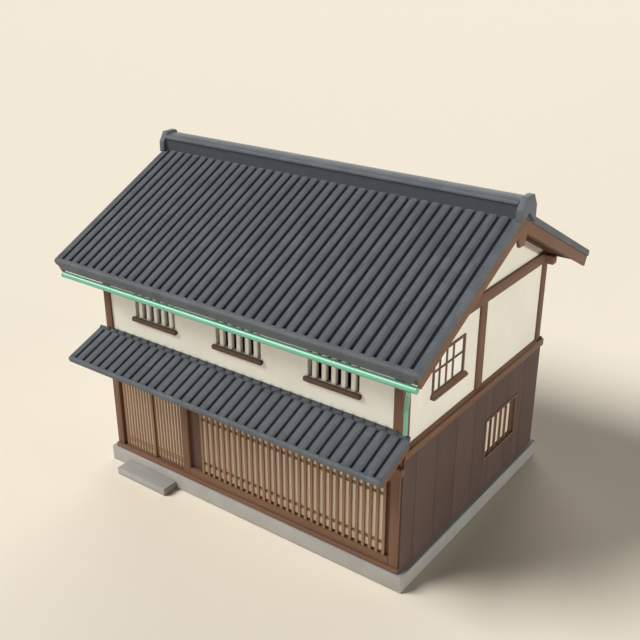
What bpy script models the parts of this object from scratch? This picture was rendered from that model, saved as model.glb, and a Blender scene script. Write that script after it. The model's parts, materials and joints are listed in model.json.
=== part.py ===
"""Machiya townhouse: a two-storey timber and plaster house with tiled roofs.

World frame: +X to the right along the street front, +Y into the house, +Z up.
The origin is on the ground under the middle of the stone plinth. Metres.
"""
import math

import bpy
import bmesh
from mathutils import Matrix, Vector

GAP = 0.0003            # clearance between pieces that touch

# Ground
PLINTH_X = 8.00
PLINTH_Y = 6.12
PLINTH_H = 0.37
STEP = ((-3.42, -3.455), (-1.91, -3.0603), 0.18)

# Timber frame
POST_OUT_X = 3.845      # outer faces of the corner posts
POST_OUT_Y = 2.98
POST = 0.195
SIDING_X = 3.876        # outer face of the board siding
SIDING_Y = 3.011
SIDING_FRONT = -2.93    # where the boards of the two sides begin
CORE_T = 0.12           # thickness of the earth core of a wall
PLASTER_X = 3.80
PLASTER_Y = 2.935
SILL_TOP = 0.48
THRESHOLD_TOP = 0.66
LINTEL_Z = (2.36, 2.60)
GIRDER_Z = (2.62, 2.79)
BELT_Z = (2.90, 3.09)
BELT_OUT = 0.045
TIE_Z = (4.96, 5.20)
POST_TOP = 4.93
EAVE_GIRDER_Z = (4.93, 5.12)
EAVE_GIRDER_X = 4.04
MID_POST = 0.26
FLOOR_Z = (0.37, 0.56)
UPPER_FLOOR_Z = (2.86, 3.00)

# Main roof, a 5 in 10 pitch; heights below it are measured straight down
APEX_Z = 6.944
SLOPE = 0.5
EAVE_Y = 3.68           # top edge of the eave tiles' faces
EAVE_FACE = 0.28        # how deep those faces are, square to the slope
EAVE_T = 0.08           # how thick the eave tiles are, along the slope
EAVE_ROUND = (0.05, 0.03)
EAVE_X = 4.41           # ends of the eave tiles, between the bargeboards
VERGE_X = 4.50
TILE_DROP = 0.145
DECK_DROP = 0.328
DECK_Y = 3.47
BARGE_DROP = 0.40
BARGE_X = (4.42, 4.48)
BARGE_BACK = 0.01       # how far the boards end behind the eave tiles
PENDANT = ((0.18, 6.44), (0.105, 6.24))
RIDGE_HALF = 0.215
RIDGE_CAP_HALF = 0.25
RIDGE_BASE_TOP = 7.09
RIDGE_TOP = 7.19
PLATE_X = (4.43, 4.575)
PLATE_HALF = 0.29
PLATE_SHOULDER = 7.01
PLATE_TOP_HALF = 0.15
PLATE_TOP = 7.235

# Lower roof, a 4 in 10 pitch
LOWER_SLOPE = 0.4
LOWER_Y = (2.98, 3.98)
LOWER_Z = 3.44          # top of the tiles at the wall
LOWER_X = 4.025
LOWER_TILE_DROP = 0.10
LOWER_DECK_DROP = 0.19
LOWER_BARGE_DROP = 0.26
LOWER_DECK_Y = 3.865
LOWER_FACE = 0.13
LOWER_EAVE_T = 0.06
LOWER_ROUND = (0.04, 0.02)
STRIP_Y = 3.07          # front of the top strip
STRIP_RISE = (0.07, 0.09)

# Rainwater
GUTTER_Y = -3.52
GUTTER_Z = 4.75
GUTTER_HALF = 4.41
GUTTER_R = (0.064, 0.052)
GUTTER_SLOT = (0.008, 0.028)    # its long mouth, behind the middle line
GUTTER_END = 0.012
PIPE_R = 0.042
PIPE_FOOT = 3.50
PIPE_BEND = (4.02, 4.63)
PIPE_X = (3.935, 4.25)
PIPE_Y = -3.03

# Openings
DOOR_X = (-3.58, -1.728)
DOOR_POST_X = (-1.725, -1.510)
LATTICE_X = (-1.152, 3.56)
LATTICE_Y = (-2.98, -2.91)
LATTICE_SLATS = 31
LATTICE_SLAT = 0.065
LEAF_SLATS = 6
LEAF_W = 0.95
LEAF_T = 0.035
LEAF_Y = (-2.900, -2.855)   # backs of the left and right leaves
LEAF_GAP = 0.005
LEAF_Z = (0.488, 2.345)
SLIDE = 0.84
MUSHIKO_X = (-2.307, 0.0, 2.307)
MUSHIKO_W = 1.17
MUSHIKO_Z = (3.93, 4.75)
MUSHIKO_GAPS = 6
MUSHIKO_BAR = 0.10
SILL_W = 1.30
UPPER_WINDOW = ((-1.90, 3.725), (-0.69, 4.56))
LOWER_WINDOW = ((0.40, 1.11), (1.92, 2.13))

COLLECTION = "machiya_townhouse"


def clear_scene():
    """Remove what the start-up file holds."""
    for item in list(bpy.data.objects):
        bpy.data.objects.remove(item, do_unlink=True)


def collection(name):
    """Make a collection and link it to the scene."""
    group = bpy.data.collections.new(name)
    bpy.context.scene.collection.children.link(group)
    return group


def material(name, colour, roughness, metallic=0.0):
    """Make a plain Principled material."""
    made = bpy.data.materials.new(name)
    made.use_nodes = True
    shader = made.node_tree.nodes["Principled BSDF"]
    shader.inputs["Base Color"].default_value = (*colour, 1.0)
    shader.inputs["Roughness"].default_value = roughness
    shader.inputs["Metallic"].default_value = metallic
    return made


def box(name, low, high, finish, group):
    """A block between two corners, with its origin at its middle."""
    size = Vector(high) - Vector(low)
    cube = bmesh.new()
    bmesh.ops.create_cube(cube, size=1.0, matrix=Matrix.Diagonal((*size, 1.0)))
    mesh = bpy.data.meshes.new(name)
    cube.to_mesh(mesh)
    cube.free()
    mesh.materials.append(finish)
    block = bpy.data.objects.new(name, mesh)
    block.location = (Vector(low) + Vector(high)) / 2
    group.objects.link(block)
    return block


def outline(name, loops, plane, span, finish, group):
    """A flat outline with holes, filled and given its thickness.

    The outline lies in the named plane, xy, xz or yz, and the solid fills the
    span along the third axis.
    """
    curve = bpy.data.curves.new(name, "CURVE")
    curve.dimensions = "2D"
    curve.fill_mode = "BOTH"
    curve.extrude = (span[1] - span[0]) / 2
    for loop in loops:
        spline = curve.splines.new("POLY")
        spline.points.add(len(loop) - 1)
        for point, (u, v) in zip(spline.points, loop):
            point.co = (u, v, 0.0, 1.0)
        spline.use_cyclic_u = True
    curve.materials.append(finish)
    made = bpy.data.objects.new(name, curve)
    middle = (span[0] + span[1]) / 2
    quarter = math.pi / 2
    if plane == "xz":
        made.rotation_euler = (quarter, 0.0, 0.0)
        made.location = (0.0, middle, 0.0)
    elif plane == "yz":
        made.rotation_euler = (quarter, 0.0, quarter)
        made.location = (middle, 0.0, 0.0)
    else:
        made.location = (0.0, 0.0, middle)
    group.objects.link(made)
    return made


def rectangle(low, high):
    """Four corners of a rectangle."""
    return [(low[0], low[1]), (high[0], low[1]), (high[0], high[1]), (low[0], high[1])]


def grow(low, high, by):
    """A rectangle made larger all round."""
    return (low[0] - by, low[1] - by), (high[0] + by, high[1] + by)


def arc(centre, radius, start, end, steps):
    """Points along a round stretch, with angles in degrees."""
    points = []
    for i in range(steps + 1):
        angle = math.radians(start + (end - start) * i / steps)
        points.append((centre[0] + radius * math.cos(angle), centre[1] + radius * math.sin(angle)))
    return points


def cut(target, low, high, cutters):
    """Cut a box-shaped hole through a solid."""
    subtract(target, box(target.name + "_cutter", low, high, None, cutters))


def as_mesh(made, group):
    """Turn a curve object into a welded mesh object at the same place."""
    graph = bpy.context.evaluated_depsgraph_get()
    mesh = bpy.data.meshes.new_from_object(made.evaluated_get(graph))
    welded = bmesh.new()
    welded.from_mesh(mesh)
    bmesh.ops.remove_doubles(welded, verts=welded.verts, dist=0.00001)
    bmesh.ops.recalc_face_normals(welded, faces=welded.faces)
    welded.to_mesh(mesh)
    welded.free()
    name = made.name
    matrix = made.matrix_basis.copy()
    bpy.data.objects.remove(made, do_unlink=True)
    solid = bpy.data.objects.new(name, mesh)
    solid.matrix_world = matrix
    group.objects.link(solid)
    return solid


def mirror_y(points):
    """The same outline on the other side of the house."""
    return [(-y, z) for y, z in reversed(points)]


def roof_z(y, drop=0.0):
    """Height of the main roof at a distance from the ridge."""
    return APEX_Z - SLOPE * abs(y) - drop


def lower_z(y, drop=0.0):
    """Height of the lower roof at a distance from the house's middle line."""
    return LOWER_Z - LOWER_SLOPE * (abs(y) - LOWER_Y[0]) - drop


def eave_face(y, slope, height, points):
    """Places measured from an eave's top edge: back up the slope, and square below it."""
    run = 1.0 / math.hypot(1.0, slope)
    rise = slope * run
    return [(y - u * run - v * rise, height(y) + u * rise - v * run) for u, v in points]


def eave_nose(thick, deep, under, rounds):
    """Back, rounded foot and rounded top of an eave's tiles, for eave_face."""
    top, foot = rounds
    points = [(thick, under), (thick, deep)]
    points += arc((foot, deep - foot), foot, 90, 180, 3)
    points += arc((top, top), top, 180, 270, 4)
    return points


def square(drop, slope):
    """A depth measured straight down, turned into one square to the slope."""
    return drop / math.hypot(1.0, slope)


def subtract(target, tool):
    """Take one solid away from another."""
    tool.hide_render = True
    tool.display_type = "WIRE"
    modifier = target.modifiers.new("cut", "BOOLEAN")
    modifier.operation = "DIFFERENCE"
    modifier.solver = "EXACT"
    modifier.object = tool


def build_ground(group, finish):
    """Stone plinth, step stone and the two floors."""
    half_x = PLINTH_X / 2
    half_y = PLINTH_Y / 2
    box("plinth", (-half_x, -half_y, 0.0), (half_x, half_y, PLINTH_H), finish["stone"], group)
    (x0, y0), (x1, y1), top = STEP
    box("step_stone", (x0, y0, 0.0), (x1, y1, top), finish["stone"], group)
    inner_x = PLASTER_X - CORE_T - 0.03
    inner_y = PLASTER_Y - CORE_T - 0.06
    box("ground_floor", (-inner_x, -inner_y, FLOOR_Z[0] + GAP), (inner_x, inner_y, FLOOR_Z[1]),
        finish["timber"], group)
    box("upper_floor", (-inner_x, -inner_y, UPPER_FLOOR_Z[0]), (inner_x, inner_y, UPPER_FLOOR_Z[1]),
        finish["timber"], group)


def build_posts(group, finish):
    """Corner posts from plinth or sill to the eave girders, and the middle posts."""
    for side, sx in (("left", -1), ("right", 1)):
        for end, sy, foot in (("front", -1, SILL_TOP), ("back", 1, PLINTH_H)):
            xs = sorted((sx * (POST_OUT_X - POST), sx * POST_OUT_X))
            ys = sorted((sy * (POST_OUT_Y - POST), sy * POST_OUT_Y))
            box(f"corner_post_{end}_{side}", (xs[0], ys[0], foot + GAP), (xs[1], ys[1], POST_TOP),
                finish["timber"], group)
        xs = sorted((sx * (PLASTER_X + GAP), sx * POST_OUT_X))
        box(f"middle_post_{side}", (xs[0], -MID_POST / 2, BELT_Z[1] + GAP),
            (xs[1], MID_POST / 2, TIE_Z[0] - GAP), finish["timber"], group)


def build_beams(group, finish):
    """Front sill, girders, belts, ties and eave girders."""
    timber = finish["timber"]
    back = -(POST_OUT_Y - POST)
    plan = [(3.87, -3.02), (3.87, SIDING_FRONT - GAP), (POST_OUT_X, SIDING_FRONT - GAP), (POST_OUT_X, back)]
    plan += [(-x, y) for x, y in reversed(plan)]
    outline("front_sill", [plan], "xy", (PLINTH_H + GAP, SILL_TOP), timber, group)
    inner = POST_OUT_X - POST - GAP
    box("threshold", (DOOR_POST_X[1] + GAP, -2.99, SILL_TOP + GAP), (inner, -2.80, THRESHOLD_TOP),
        timber, group)
    box("door_lintel", (-inner, -2.96, LINTEL_Z[0]), (inner, -2.80, LINTEL_Z[1]), timber, group)
    box("front_girder", (-3.94, -3.10, GIRDER_Z[0]), (3.94, -POST_OUT_Y - GAP, GIRDER_Z[1]), timber, group)
    for side, sx in (("left", -1), ("right", 1)):
        low_x, high_x = sorted((sx * (SIDING_X + GAP), sx * (SIDING_X + BELT_OUT)))
        box(f"belt_{side}", (low_x, -2.96, BELT_Z[0]), (high_x, 3.04, BELT_Z[1]), timber, group)
        low_x, high_x = sorted((sx * (PLASTER_X + GAP), sx * (SIDING_X - 0.005)))
        edge = POST_OUT_Y - POST - GAP
        box(f"tie_beam_{side}", (low_x, -edge, TIE_Z[0]), (high_x, edge, TIE_Z[1]), timber, group)
    edge = SIDING_X
    box("belt_back", (-edge, SIDING_Y + GAP, BELT_Z[0]), (edge, SIDING_Y + BELT_OUT, BELT_Z[1]),
        timber, group)
    for end, sy in (("front", -1), ("back", 1)):
        ys = sorted((sy * (POST_OUT_Y - POST), sy * POST_OUT_Y))
        box(f"eave_girder_{end}", (-EAVE_GIRDER_X, ys[0], EAVE_GIRDER_Z[0] + GAP),
            (EAVE_GIRDER_X, ys[1], EAVE_GIRDER_Z[1]), timber, group)


def build_back_frame(group, finish):
    """Posts of the back wall's upper storey, hung from their head rail."""
    edge = POST_OUT_X - POST - GAP
    rail = POST_TOP - 0.16
    foot = BELT_Z[1] + GAP
    loop = [(edge, rail), (edge, POST_TOP), (-edge, POST_TOP), (-edge, rail)]
    for middle in (-edge / 2, 0.0, edge / 2):
        left, right = middle - MID_POST / 3, middle + MID_POST / 3
        loop += [(left, rail), (left, foot), (right, foot), (right, rail)]
    outline("back_frame", [loop], "xz", (PLASTER_Y + GAP, POST_OUT_Y), finish["timber"], group)


def build_lower_walls(group, cutters, finish):
    """Boarded walls of the lower storey on the two sides and the back."""
    post_y = POST_OUT_Y - POST - GAP
    (y0, z0), (y1, z1) = LOWER_WINDOW
    for side, sx in (("left", -1), ("right", 1)):
        plan = [(PLASTER_X - CORE_T, -post_y), (POST_OUT_X + GAP, -post_y), (POST_OUT_X + GAP, SIDING_FRONT),
                (SIDING_X, SIDING_FRONT), (SIDING_X, SIDING_Y), (POST_OUT_X + GAP, SIDING_Y),
                (POST_OUT_X + GAP, post_y), (PLASTER_X - CORE_T, post_y)]
        wall = outline(f"siding_wall_{side}", [[(sx * x, y) for x, y in plan]], "xy",
                       (PLINTH_H + GAP, BELT_Z[0] - GAP), finish["siding"], group)
        wall = as_mesh(wall, group)
        low_x, high_x = sorted((sx * 3.5, sx * 4.0))
        cut(wall, (low_x, y0 - GAP, z0 - GAP), (high_x, y1 + GAP, z1 + GAP), cutters)
    post_x = POST_OUT_X - POST - GAP
    skin = POST_OUT_X - GAP
    plan = [(-post_x, PLASTER_Y - CORE_T), (post_x, PLASTER_Y - CORE_T), (post_x, POST_OUT_Y + GAP),
            (skin, POST_OUT_Y + GAP), (skin, SIDING_Y), (-skin, SIDING_Y), (-skin, POST_OUT_Y + GAP),
            (-post_x, POST_OUT_Y + GAP)]
    outline("siding_wall_back", [plan], "xy", (PLINTH_H + GAP, BELT_Z[0] - GAP), finish["siding"], group)


def gable_outline():
    """Upper side wall with its gable, up to the underside of the roof deck."""
    edge = POST_OUT_Y - POST - GAP
    foot = BELT_Z[0] + 2 * GAP
    top = roof_z(edge, DECK_DROP + GAP)
    return [(-edge, foot), (edge, foot), (edge, top), (0.0, roof_z(0.0, DECK_DROP + GAP)), (-edge, top)]


def mushiko_slots():
    """Upright slots between the plaster bars of the three front windows."""
    pitch = (MUSHIKO_W - (MUSHIKO_GAPS - 1) * MUSHIKO_BAR) / MUSHIKO_GAPS
    slots = []
    for centre in MUSHIKO_X:
        for i in range(MUSHIKO_GAPS):
            x = centre - MUSHIKO_W / 2 + i * (pitch + MUSHIKO_BAR)
            slots.append(rectangle((x, MUSHIKO_Z[0]), (x + pitch, MUSHIKO_Z[1])))
    return slots


def build_upper_walls(group, finish):
    """Plaster walls of the upper storey."""
    post_x = POST_OUT_X - POST - GAP
    span = (-PLASTER_Y, -PLASTER_Y + CORE_T)
    face = rectangle((-post_x, LINTEL_Z[1] + GAP), (post_x, POST_TOP))
    outline("upper_wall_front", [face] + mushiko_slots(), "xz", span, finish["plaster"], group)
    box("upper_wall_back", (-post_x, PLASTER_Y - CORE_T, BELT_Z[0] + GAP), (post_x, PLASTER_Y, POST_TOP),
        finish["plaster"], group)
    window = rectangle(*grow(*UPPER_WINDOW, GAP))
    for side, sx in (("left", -1), ("right", 1)):
        span = sorted((sx * (PLASTER_X - CORE_T), sx * PLASTER_X))
        outline(f"gable_wall_{side}", [gable_outline(), window], "yz", span, finish["plaster"], group)


def grid_holes(low, high, frame, bar, count):
    """Rectangular holes of a frame, a number across and a number up, with bars between them."""
    columns, rows = count
    wide = (high[0] - low[0] - 2 * frame[0] - (columns - 1) * bar) / columns
    tall = (high[1] - low[1] - 2 * frame[1] - (rows - 1) * bar) / rows
    holes = []
    for i in range(columns):
        for j in range(rows):
            u = low[0] + frame[0] + i * (wide + bar)
            v = low[1] + frame[1] + j * (tall + bar)
            holes.append(((u, v), (u + wide, v + tall)))
    return holes


def window_unit(name, low, high, grid, sx, outer, depth, pane, finish, group, cutters):
    """A frame with bars and a thin pane at its back, in one solid."""
    xs = sorted((sx * (outer - depth), sx * outer))
    unit = box(name, (xs[0], low[0], low[1]), (xs[1], high[0], high[1]), finish, group)
    pocket = sorted((sx * (outer - depth + pane), sx * (outer + 0.05)))
    for i, (u, v) in enumerate(grid_holes(low, high, *grid)):
        subtract(unit, box(f"{name}_pocket_{i}", (pocket[0], *u), (pocket[1], *v), None, cutters))


def build_windows(group, cutters, finish):
    """Side windows of both storeys and the sills under the front windows."""
    for side, sx in (("left", -1), ("right", 1)):
        window_unit(f"lower_window_{side}", *LOWER_WINDOW, ((0.17, 0.17), 0.06, (5, 1)), sx, SIDING_X + 0.02,
                    0.12, 0.012, finish["timber"], group, cutters)
        window_unit(f"upper_window_{side}", *UPPER_WINDOW, ((0.06, 0.06), 0.04, (4, 2)), sx, PLASTER_X + 0.03,
                    0.10, 0.012, finish["timber"], group, cutters)
        (y0, z0), (y1, z1) = UPPER_WINDOW
        low_x, high_x = sorted((sx * (PLASTER_X + GAP), sx * (PLASTER_X + 0.10)))
        box(f"upper_window_sill_{side}", (low_x, y0 - 0.04, z0 - 0.07), (high_x, y1 + 0.06, z0 - GAP),
            finish["timber"], group)
    for name, centre in zip(("left", "middle", "right"), MUSHIKO_X):
        box(f"front_window_sill_{name}", (centre - SILL_W / 2, -PLASTER_Y - 0.09, MUSHIKO_Z[0] - 0.08),
            (centre + SILL_W / 2, -PLASTER_Y - GAP, MUSHIKO_Z[0] + 0.02), finish["timber"], group)


def comb(x0, x1, back, front, sheet, slats, slat):
    """Plan of upright slats on a thin sheet, from x0 to x1; a smaller y is nearer the street."""
    pitch = (x1 - x0 - slat) / (slats - 1)
    points = [(x1, back), (x0, back)]
    for i in range(slats):
        left = x0 + i * pitch
        points += [(left, back - sheet), (left, front), (left + slat, front), (left + slat, back - sheet)]
    return points


def build_front(group, finish):
    """Door leaves, posts, boards and the long lattice of the lower front."""
    timber = finish["timber"]
    foot = THRESHOLD_TOP + GAP
    sill = SILL_TOP + GAP
    head = LINTEL_Z[0] - GAP
    box("door_post", (DOOR_POST_X[0], -2.985, sill), (DOOR_POST_X[1], -2.81, head), timber, group)
    box("side_board_left", (-POST_OUT_X + POST + GAP, -2.90, sill), (DOOR_X[0] - LEAF_GAP, -2.86, head),
        finish["siding"], group)
    box("side_board_right", (DOOR_POST_X[1] + GAP, -2.90, foot), (LATTICE_X[0] - GAP, -2.86, head),
        finish["siding"], group)
    leaf_plan = comb(0.0, LEAF_W, 0.0, -LEAF_T, 0.012, LEAF_SLATS + 2, 0.05)
    right_x = DOOR_X[1] - LEAF_GAP - LEAF_W
    for name, x0, y0 in (("door_leaf_left", DOOR_X[0], LEAF_Y[0]), ("door_leaf_right", right_x, LEAF_Y[1])):
        plan = [(x0 + u, y0 + v) for u, v in leaf_plan]
        outline(name, [plan], "xy", LEAF_Z, finish["lattice"], group)
    low, high = (LATTICE_X[0], foot), (LATTICE_X[1], head)
    slots = [rectangle(*hole) for hole in grid_holes(low, high, (LATTICE_SLAT, 0.06), LATTICE_SLAT,
                                                     (LATTICE_SLATS - 1, 1))]
    outline("front_lattice", [rectangle(low, high)] + slots, "xz", LATTICE_Y, finish["lattice"], group)
    box("front_screen", (LATTICE_X[0], LATTICE_Y[1] + GAP, foot), (POST_OUT_X - POST - GAP, -2.875, head),
        finish["paper"], group)


def slab_outline(y0, y1, top, bottom):
    """Section of a sloping slab between two distances, given its upper and lower heights."""
    return [(y0, bottom(y0)), (y1, bottom(y1)), (y1, top(y1)), (y0, top(y0))]


def tile_outline():
    """Section of the tile field of one slope, with the tiles of the eave square to it."""
    nose = eave_nose(EAVE_T, EAVE_FACE, square(TILE_DROP, SLOPE), EAVE_ROUND)
    eave = eave_face(EAVE_Y, SLOPE, roof_z, nose)
    return [(GAP, roof_z(0.0, TILE_DROP))] + eave + [(GAP, roof_z(0.0))]


def barge_outline():
    """Two sloping boards that meet over a pendant."""
    low, high = square(BARGE_DROP, SLOPE), square(TILE_DROP + GAP, SLOPE)
    end = eave_face(EAVE_Y, SLOPE, roof_z, [(BARGE_BACK, low), (BARGE_BACK, high)])
    (wide, shoulder), (narrow, foot) = PENDANT
    half = [(narrow, foot), (wide, shoulder), (wide, roof_z(wide, BARGE_DROP))] + end
    return half + [(0.0, roof_z(0.0, TILE_DROP + GAP))] + [(-y, z) for y, z in reversed(half)]


def ridge_outline():
    """Ridge wall with its projecting crown."""
    half = [(RIDGE_HALF, roof_z(RIDGE_HALF, -GAP)), (RIDGE_HALF, RIDGE_BASE_TOP),
            (RIDGE_CAP_HALF, RIDGE_BASE_TOP), (RIDGE_CAP_HALF, RIDGE_BASE_TOP + 0.04),
            (RIDGE_CAP_HALF * 0.75, RIDGE_TOP - 0.02), (RIDGE_CAP_HALF * 0.35, RIDGE_TOP)]
    return [(0.0, roof_z(0.0, -GAP))] + half + [(-y, z) for y, z in reversed(half)]


def plate_outline():
    """Block that closes an end of the ridge, with cut corners."""
    half = [(PLATE_HALF, roof_z(PLATE_HALF, -GAP)), (PLATE_HALF, PLATE_SHOULDER),
            (PLATE_TOP_HALF, PLATE_TOP)]
    return [(0.0, roof_z(0.0, -GAP))] + half + [(-y, z) for y, z in reversed(half)]


def build_tiles(side, turn, group, cutters, finish):
    """Tile field of one slope, notched at its corners for the ends of the bargeboards."""
    tiles = outline(f"roof_tiles_{side}", [turn(tile_outline())], "yz", (-VERGE_X, VERGE_X),
                    finish["tile"], group)
    tiles = as_mesh(tiles, group)
    low, high = square(TILE_DROP, SLOPE), EAVE_FACE + 0.05
    corner = eave_face(EAVE_Y, SLOPE, roof_z, [(-0.05, low), (EAVE_T + 0.01, low), (EAVE_T + 0.01, high),
                                               (-0.05, high)])
    for sx in (-1, 1):
        span = sorted((sx * EAVE_X, sx * (VERGE_X + 0.05)))
        notch = outline(f"roof_tiles_{side}_notch", [turn(corner)], "yz", span, finish["tile"], cutters)
        subtract(tiles, as_mesh(notch, cutters))


def build_main_roof(group, cutters, finish):
    """Decks, tile fields, bargeboards, ridge and ridge ends of the main roof."""
    deck = slab_outline(GAP, DECK_Y, lambda y: roof_z(y, TILE_DROP + GAP), lambda y: roof_z(y, DECK_DROP))
    for side, turn in (("front", mirror_y), ("back", list)):
        outline(f"roof_deck_{side}", [turn(deck)], "yz", (-BARGE_X[0] + GAP, BARGE_X[0] - GAP),
                finish["timber"], group)
        build_tiles(side, turn, group, cutters, finish)
    outline("ridge", [ridge_outline()], "yz", (-PLATE_X[0] + GAP, PLATE_X[0] - GAP), finish["tile"], group)
    for side, sx in (("left", -1), ("right", 1)):
        outline(f"bargeboard_{side}", [barge_outline()], "yz", sorted((sx * BARGE_X[0], sx * BARGE_X[1])),
                finish["timber"], group)
        outline(f"ridge_end_{side}", [plate_outline()], "yz", sorted((sx * PLATE_X[0], sx * PLATE_X[1])),
                finish["tile"], group)


def build_lower_roof(group, cutters, finish):
    """Pent roof over the street front, notched around the corner posts."""
    y0 = PLASTER_Y + GAP
    nose = eave_nose(LOWER_EAVE_T, LOWER_FACE, square(LOWER_TILE_DROP, LOWER_SLOPE), LOWER_ROUND)
    tiles = [(y0, lower_z(y0, LOWER_TILE_DROP))] + eave_face(LOWER_Y[1], LOWER_SLOPE, lower_z, nose)
    tiles += [(STRIP_Y, lower_z(STRIP_Y)), (STRIP_Y, lower_z(STRIP_Y, -STRIP_RISE[0])),
              (y0, lower_z(STRIP_Y, -STRIP_RISE[1]))]
    tiled = outline("lower_roof_tiles", [mirror_y(tiles)], "yz", (-LOWER_X, LOWER_X), finish["tile"], group)
    tiled = as_mesh(tiled, group)
    deck = slab_outline(y0, LOWER_DECK_Y, lambda y: lower_z(y, LOWER_TILE_DROP + GAP),
                        lambda y: lower_z(y, LOWER_DECK_DROP))
    board = slab_outline(y0, LOWER_DECK_Y, lambda y: lower_z(y, LOWER_TILE_DROP + GAP),
                         lambda y: lower_z(y, LOWER_BARGE_DROP))
    edge = LOWER_X - 0.02
    decked = outline("lower_roof_deck", [mirror_y(deck)], "yz", (-edge + 0.01, edge - 0.01),
                     finish["timber"], group)
    decked = as_mesh(decked, group)
    for sx in (-1, 1):
        rail = outline("lower_roof_rail", [mirror_y(board)], "yz", sorted((sx * (edge - 0.05), sx * edge)),
                       finish["timber"], cutters)
        rail = as_mesh(rail, cutters)
        rail.hide_render = True
        rail.display_type = "WIRE"
        modifier = decked.modifiers.new("rail", "BOOLEAN")
        modifier.operation = "UNION"
        modifier.solver = "EXACT"
        modifier.object = rail
    for roof in (tiled, decked):
        for sx in (-1, 1):
            low_x, high_x = sorted((sx * (POST_OUT_X - POST - GAP), sx * (LOWER_X + 0.1)))
            cut(roof, (low_x, -POST_OUT_Y - GAP, 2.5), (high_x, -PLASTER_Y + 0.1, 3.8), cutters)


def hollow_outline():
    """Inside of the round gutter, with the mouth along its top."""
    inner = GUTTER_R[1]
    first, last = [math.degrees(math.acos(place / inner)) for place in GUTTER_SLOT]
    mouth = [(GUTTER_Y + place, GUTTER_Z + 0.1) for place in reversed(GUTTER_SLOT)]
    return arc((GUTTER_Y, GUTTER_Z), inner, first, 360 + last, 16) + mouth


def pipe_route():
    """Downpipe: up the corner post, then slanting out to the gutter."""
    outlet = GUTTER_Z - GUTTER_R[0] - GAP
    foot = [(PIPE_X[0], PIPE_Y, PIPE_FOOT), (PIPE_X[0], PIPE_Y, PIPE_BEND[0])]
    return foot + [(PIPE_X[1], GUTTER_Y, PIPE_BEND[1]), (PIPE_X[1], GUTTER_Y, outlet)]


def build_gutter(group, cutters, finish):
    """Round gutter with a mouth along its top and closed ends, and its downpipe."""
    copper = finish["copper"]
    round_bar = arc((GUTTER_Y, GUTTER_Z), GUTTER_R[0], 0, 342, 19)
    trough = outline("gutter", [round_bar], "yz", (-GUTTER_HALF, GUTTER_HALF), copper, group)
    trough = as_mesh(trough, group)
    inside = GUTTER_HALF - GUTTER_END
    hollow = outline("gutter_hollow", [hollow_outline()], "yz", (-inside, inside), copper, cutters)
    subtract(trough, as_mesh(hollow, cutters))
    pipe = bpy.data.curves.new("downpipe", "CURVE")
    pipe.dimensions = "3D"
    pipe.fill_mode = "FULL"
    pipe.bevel_depth = PIPE_R
    pipe.bevel_resolution = 2
    pipe.use_fill_caps = True
    route = pipe_route()
    spline = pipe.splines.new("POLY")
    spline.points.add(len(route) - 1)
    for point, place in zip(spline.points, route):
        point.co = (*place, 1.0)
    pipe.materials.append(copper)
    group.objects.link(bpy.data.objects.new("downpipe", pipe))


def main():
    """Build the townhouse."""
    clear_scene()
    group = collection(COLLECTION)
    cutters = collection("cutters")
    finish = {
        "stone": material("stone", (0.36, 0.34, 0.29), 0.85),
        "timber": material("timber", (0.20, 0.11, 0.07), 0.6),
        "lattice": material("lattice", (0.25, 0.14, 0.08), 0.6),
        "siding": material("siding", (0.09, 0.06, 0.045), 0.7),
        "plaster": material("plaster", (0.72, 0.68, 0.57), 0.9),
        "paper": material("paper", (0.70, 0.60, 0.48), 0.9),
        "tile": material("tile", (0.12, 0.13, 0.14), 0.5),
        "copper": material("copper", (0.20, 0.45, 0.33), 0.5, 0.3),
    }
    build_ground(group, finish)
    build_posts(group, finish)
    build_beams(group, finish)
    build_back_frame(group, finish)
    build_lower_walls(group, cutters, finish)
    build_upper_walls(group, finish)
    build_windows(group, cutters, finish)
    build_front(group, finish)
    build_main_roof(group, cutters, finish)
    build_lower_roof(group, cutters, finish)
    build_gutter(group, cutters, finish)


main()
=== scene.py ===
"""Looks of the machiya townhouse: tiled roofs, plaster, timber, lattice and stone.

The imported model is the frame. Every piece made here takes its place from the
boxes of that frame's nodes and rides on one of its bodies. Metres, +Z up, with
the street front facing -Y.
"""
from __future__ import annotations

import json
import logging
import math
from dataclasses import dataclass, field
from enum import Enum
from typing import Callable, Iterable, Sequence, Union

import bmesh
import bpy
from mathutils import Matrix, Vector

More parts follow.
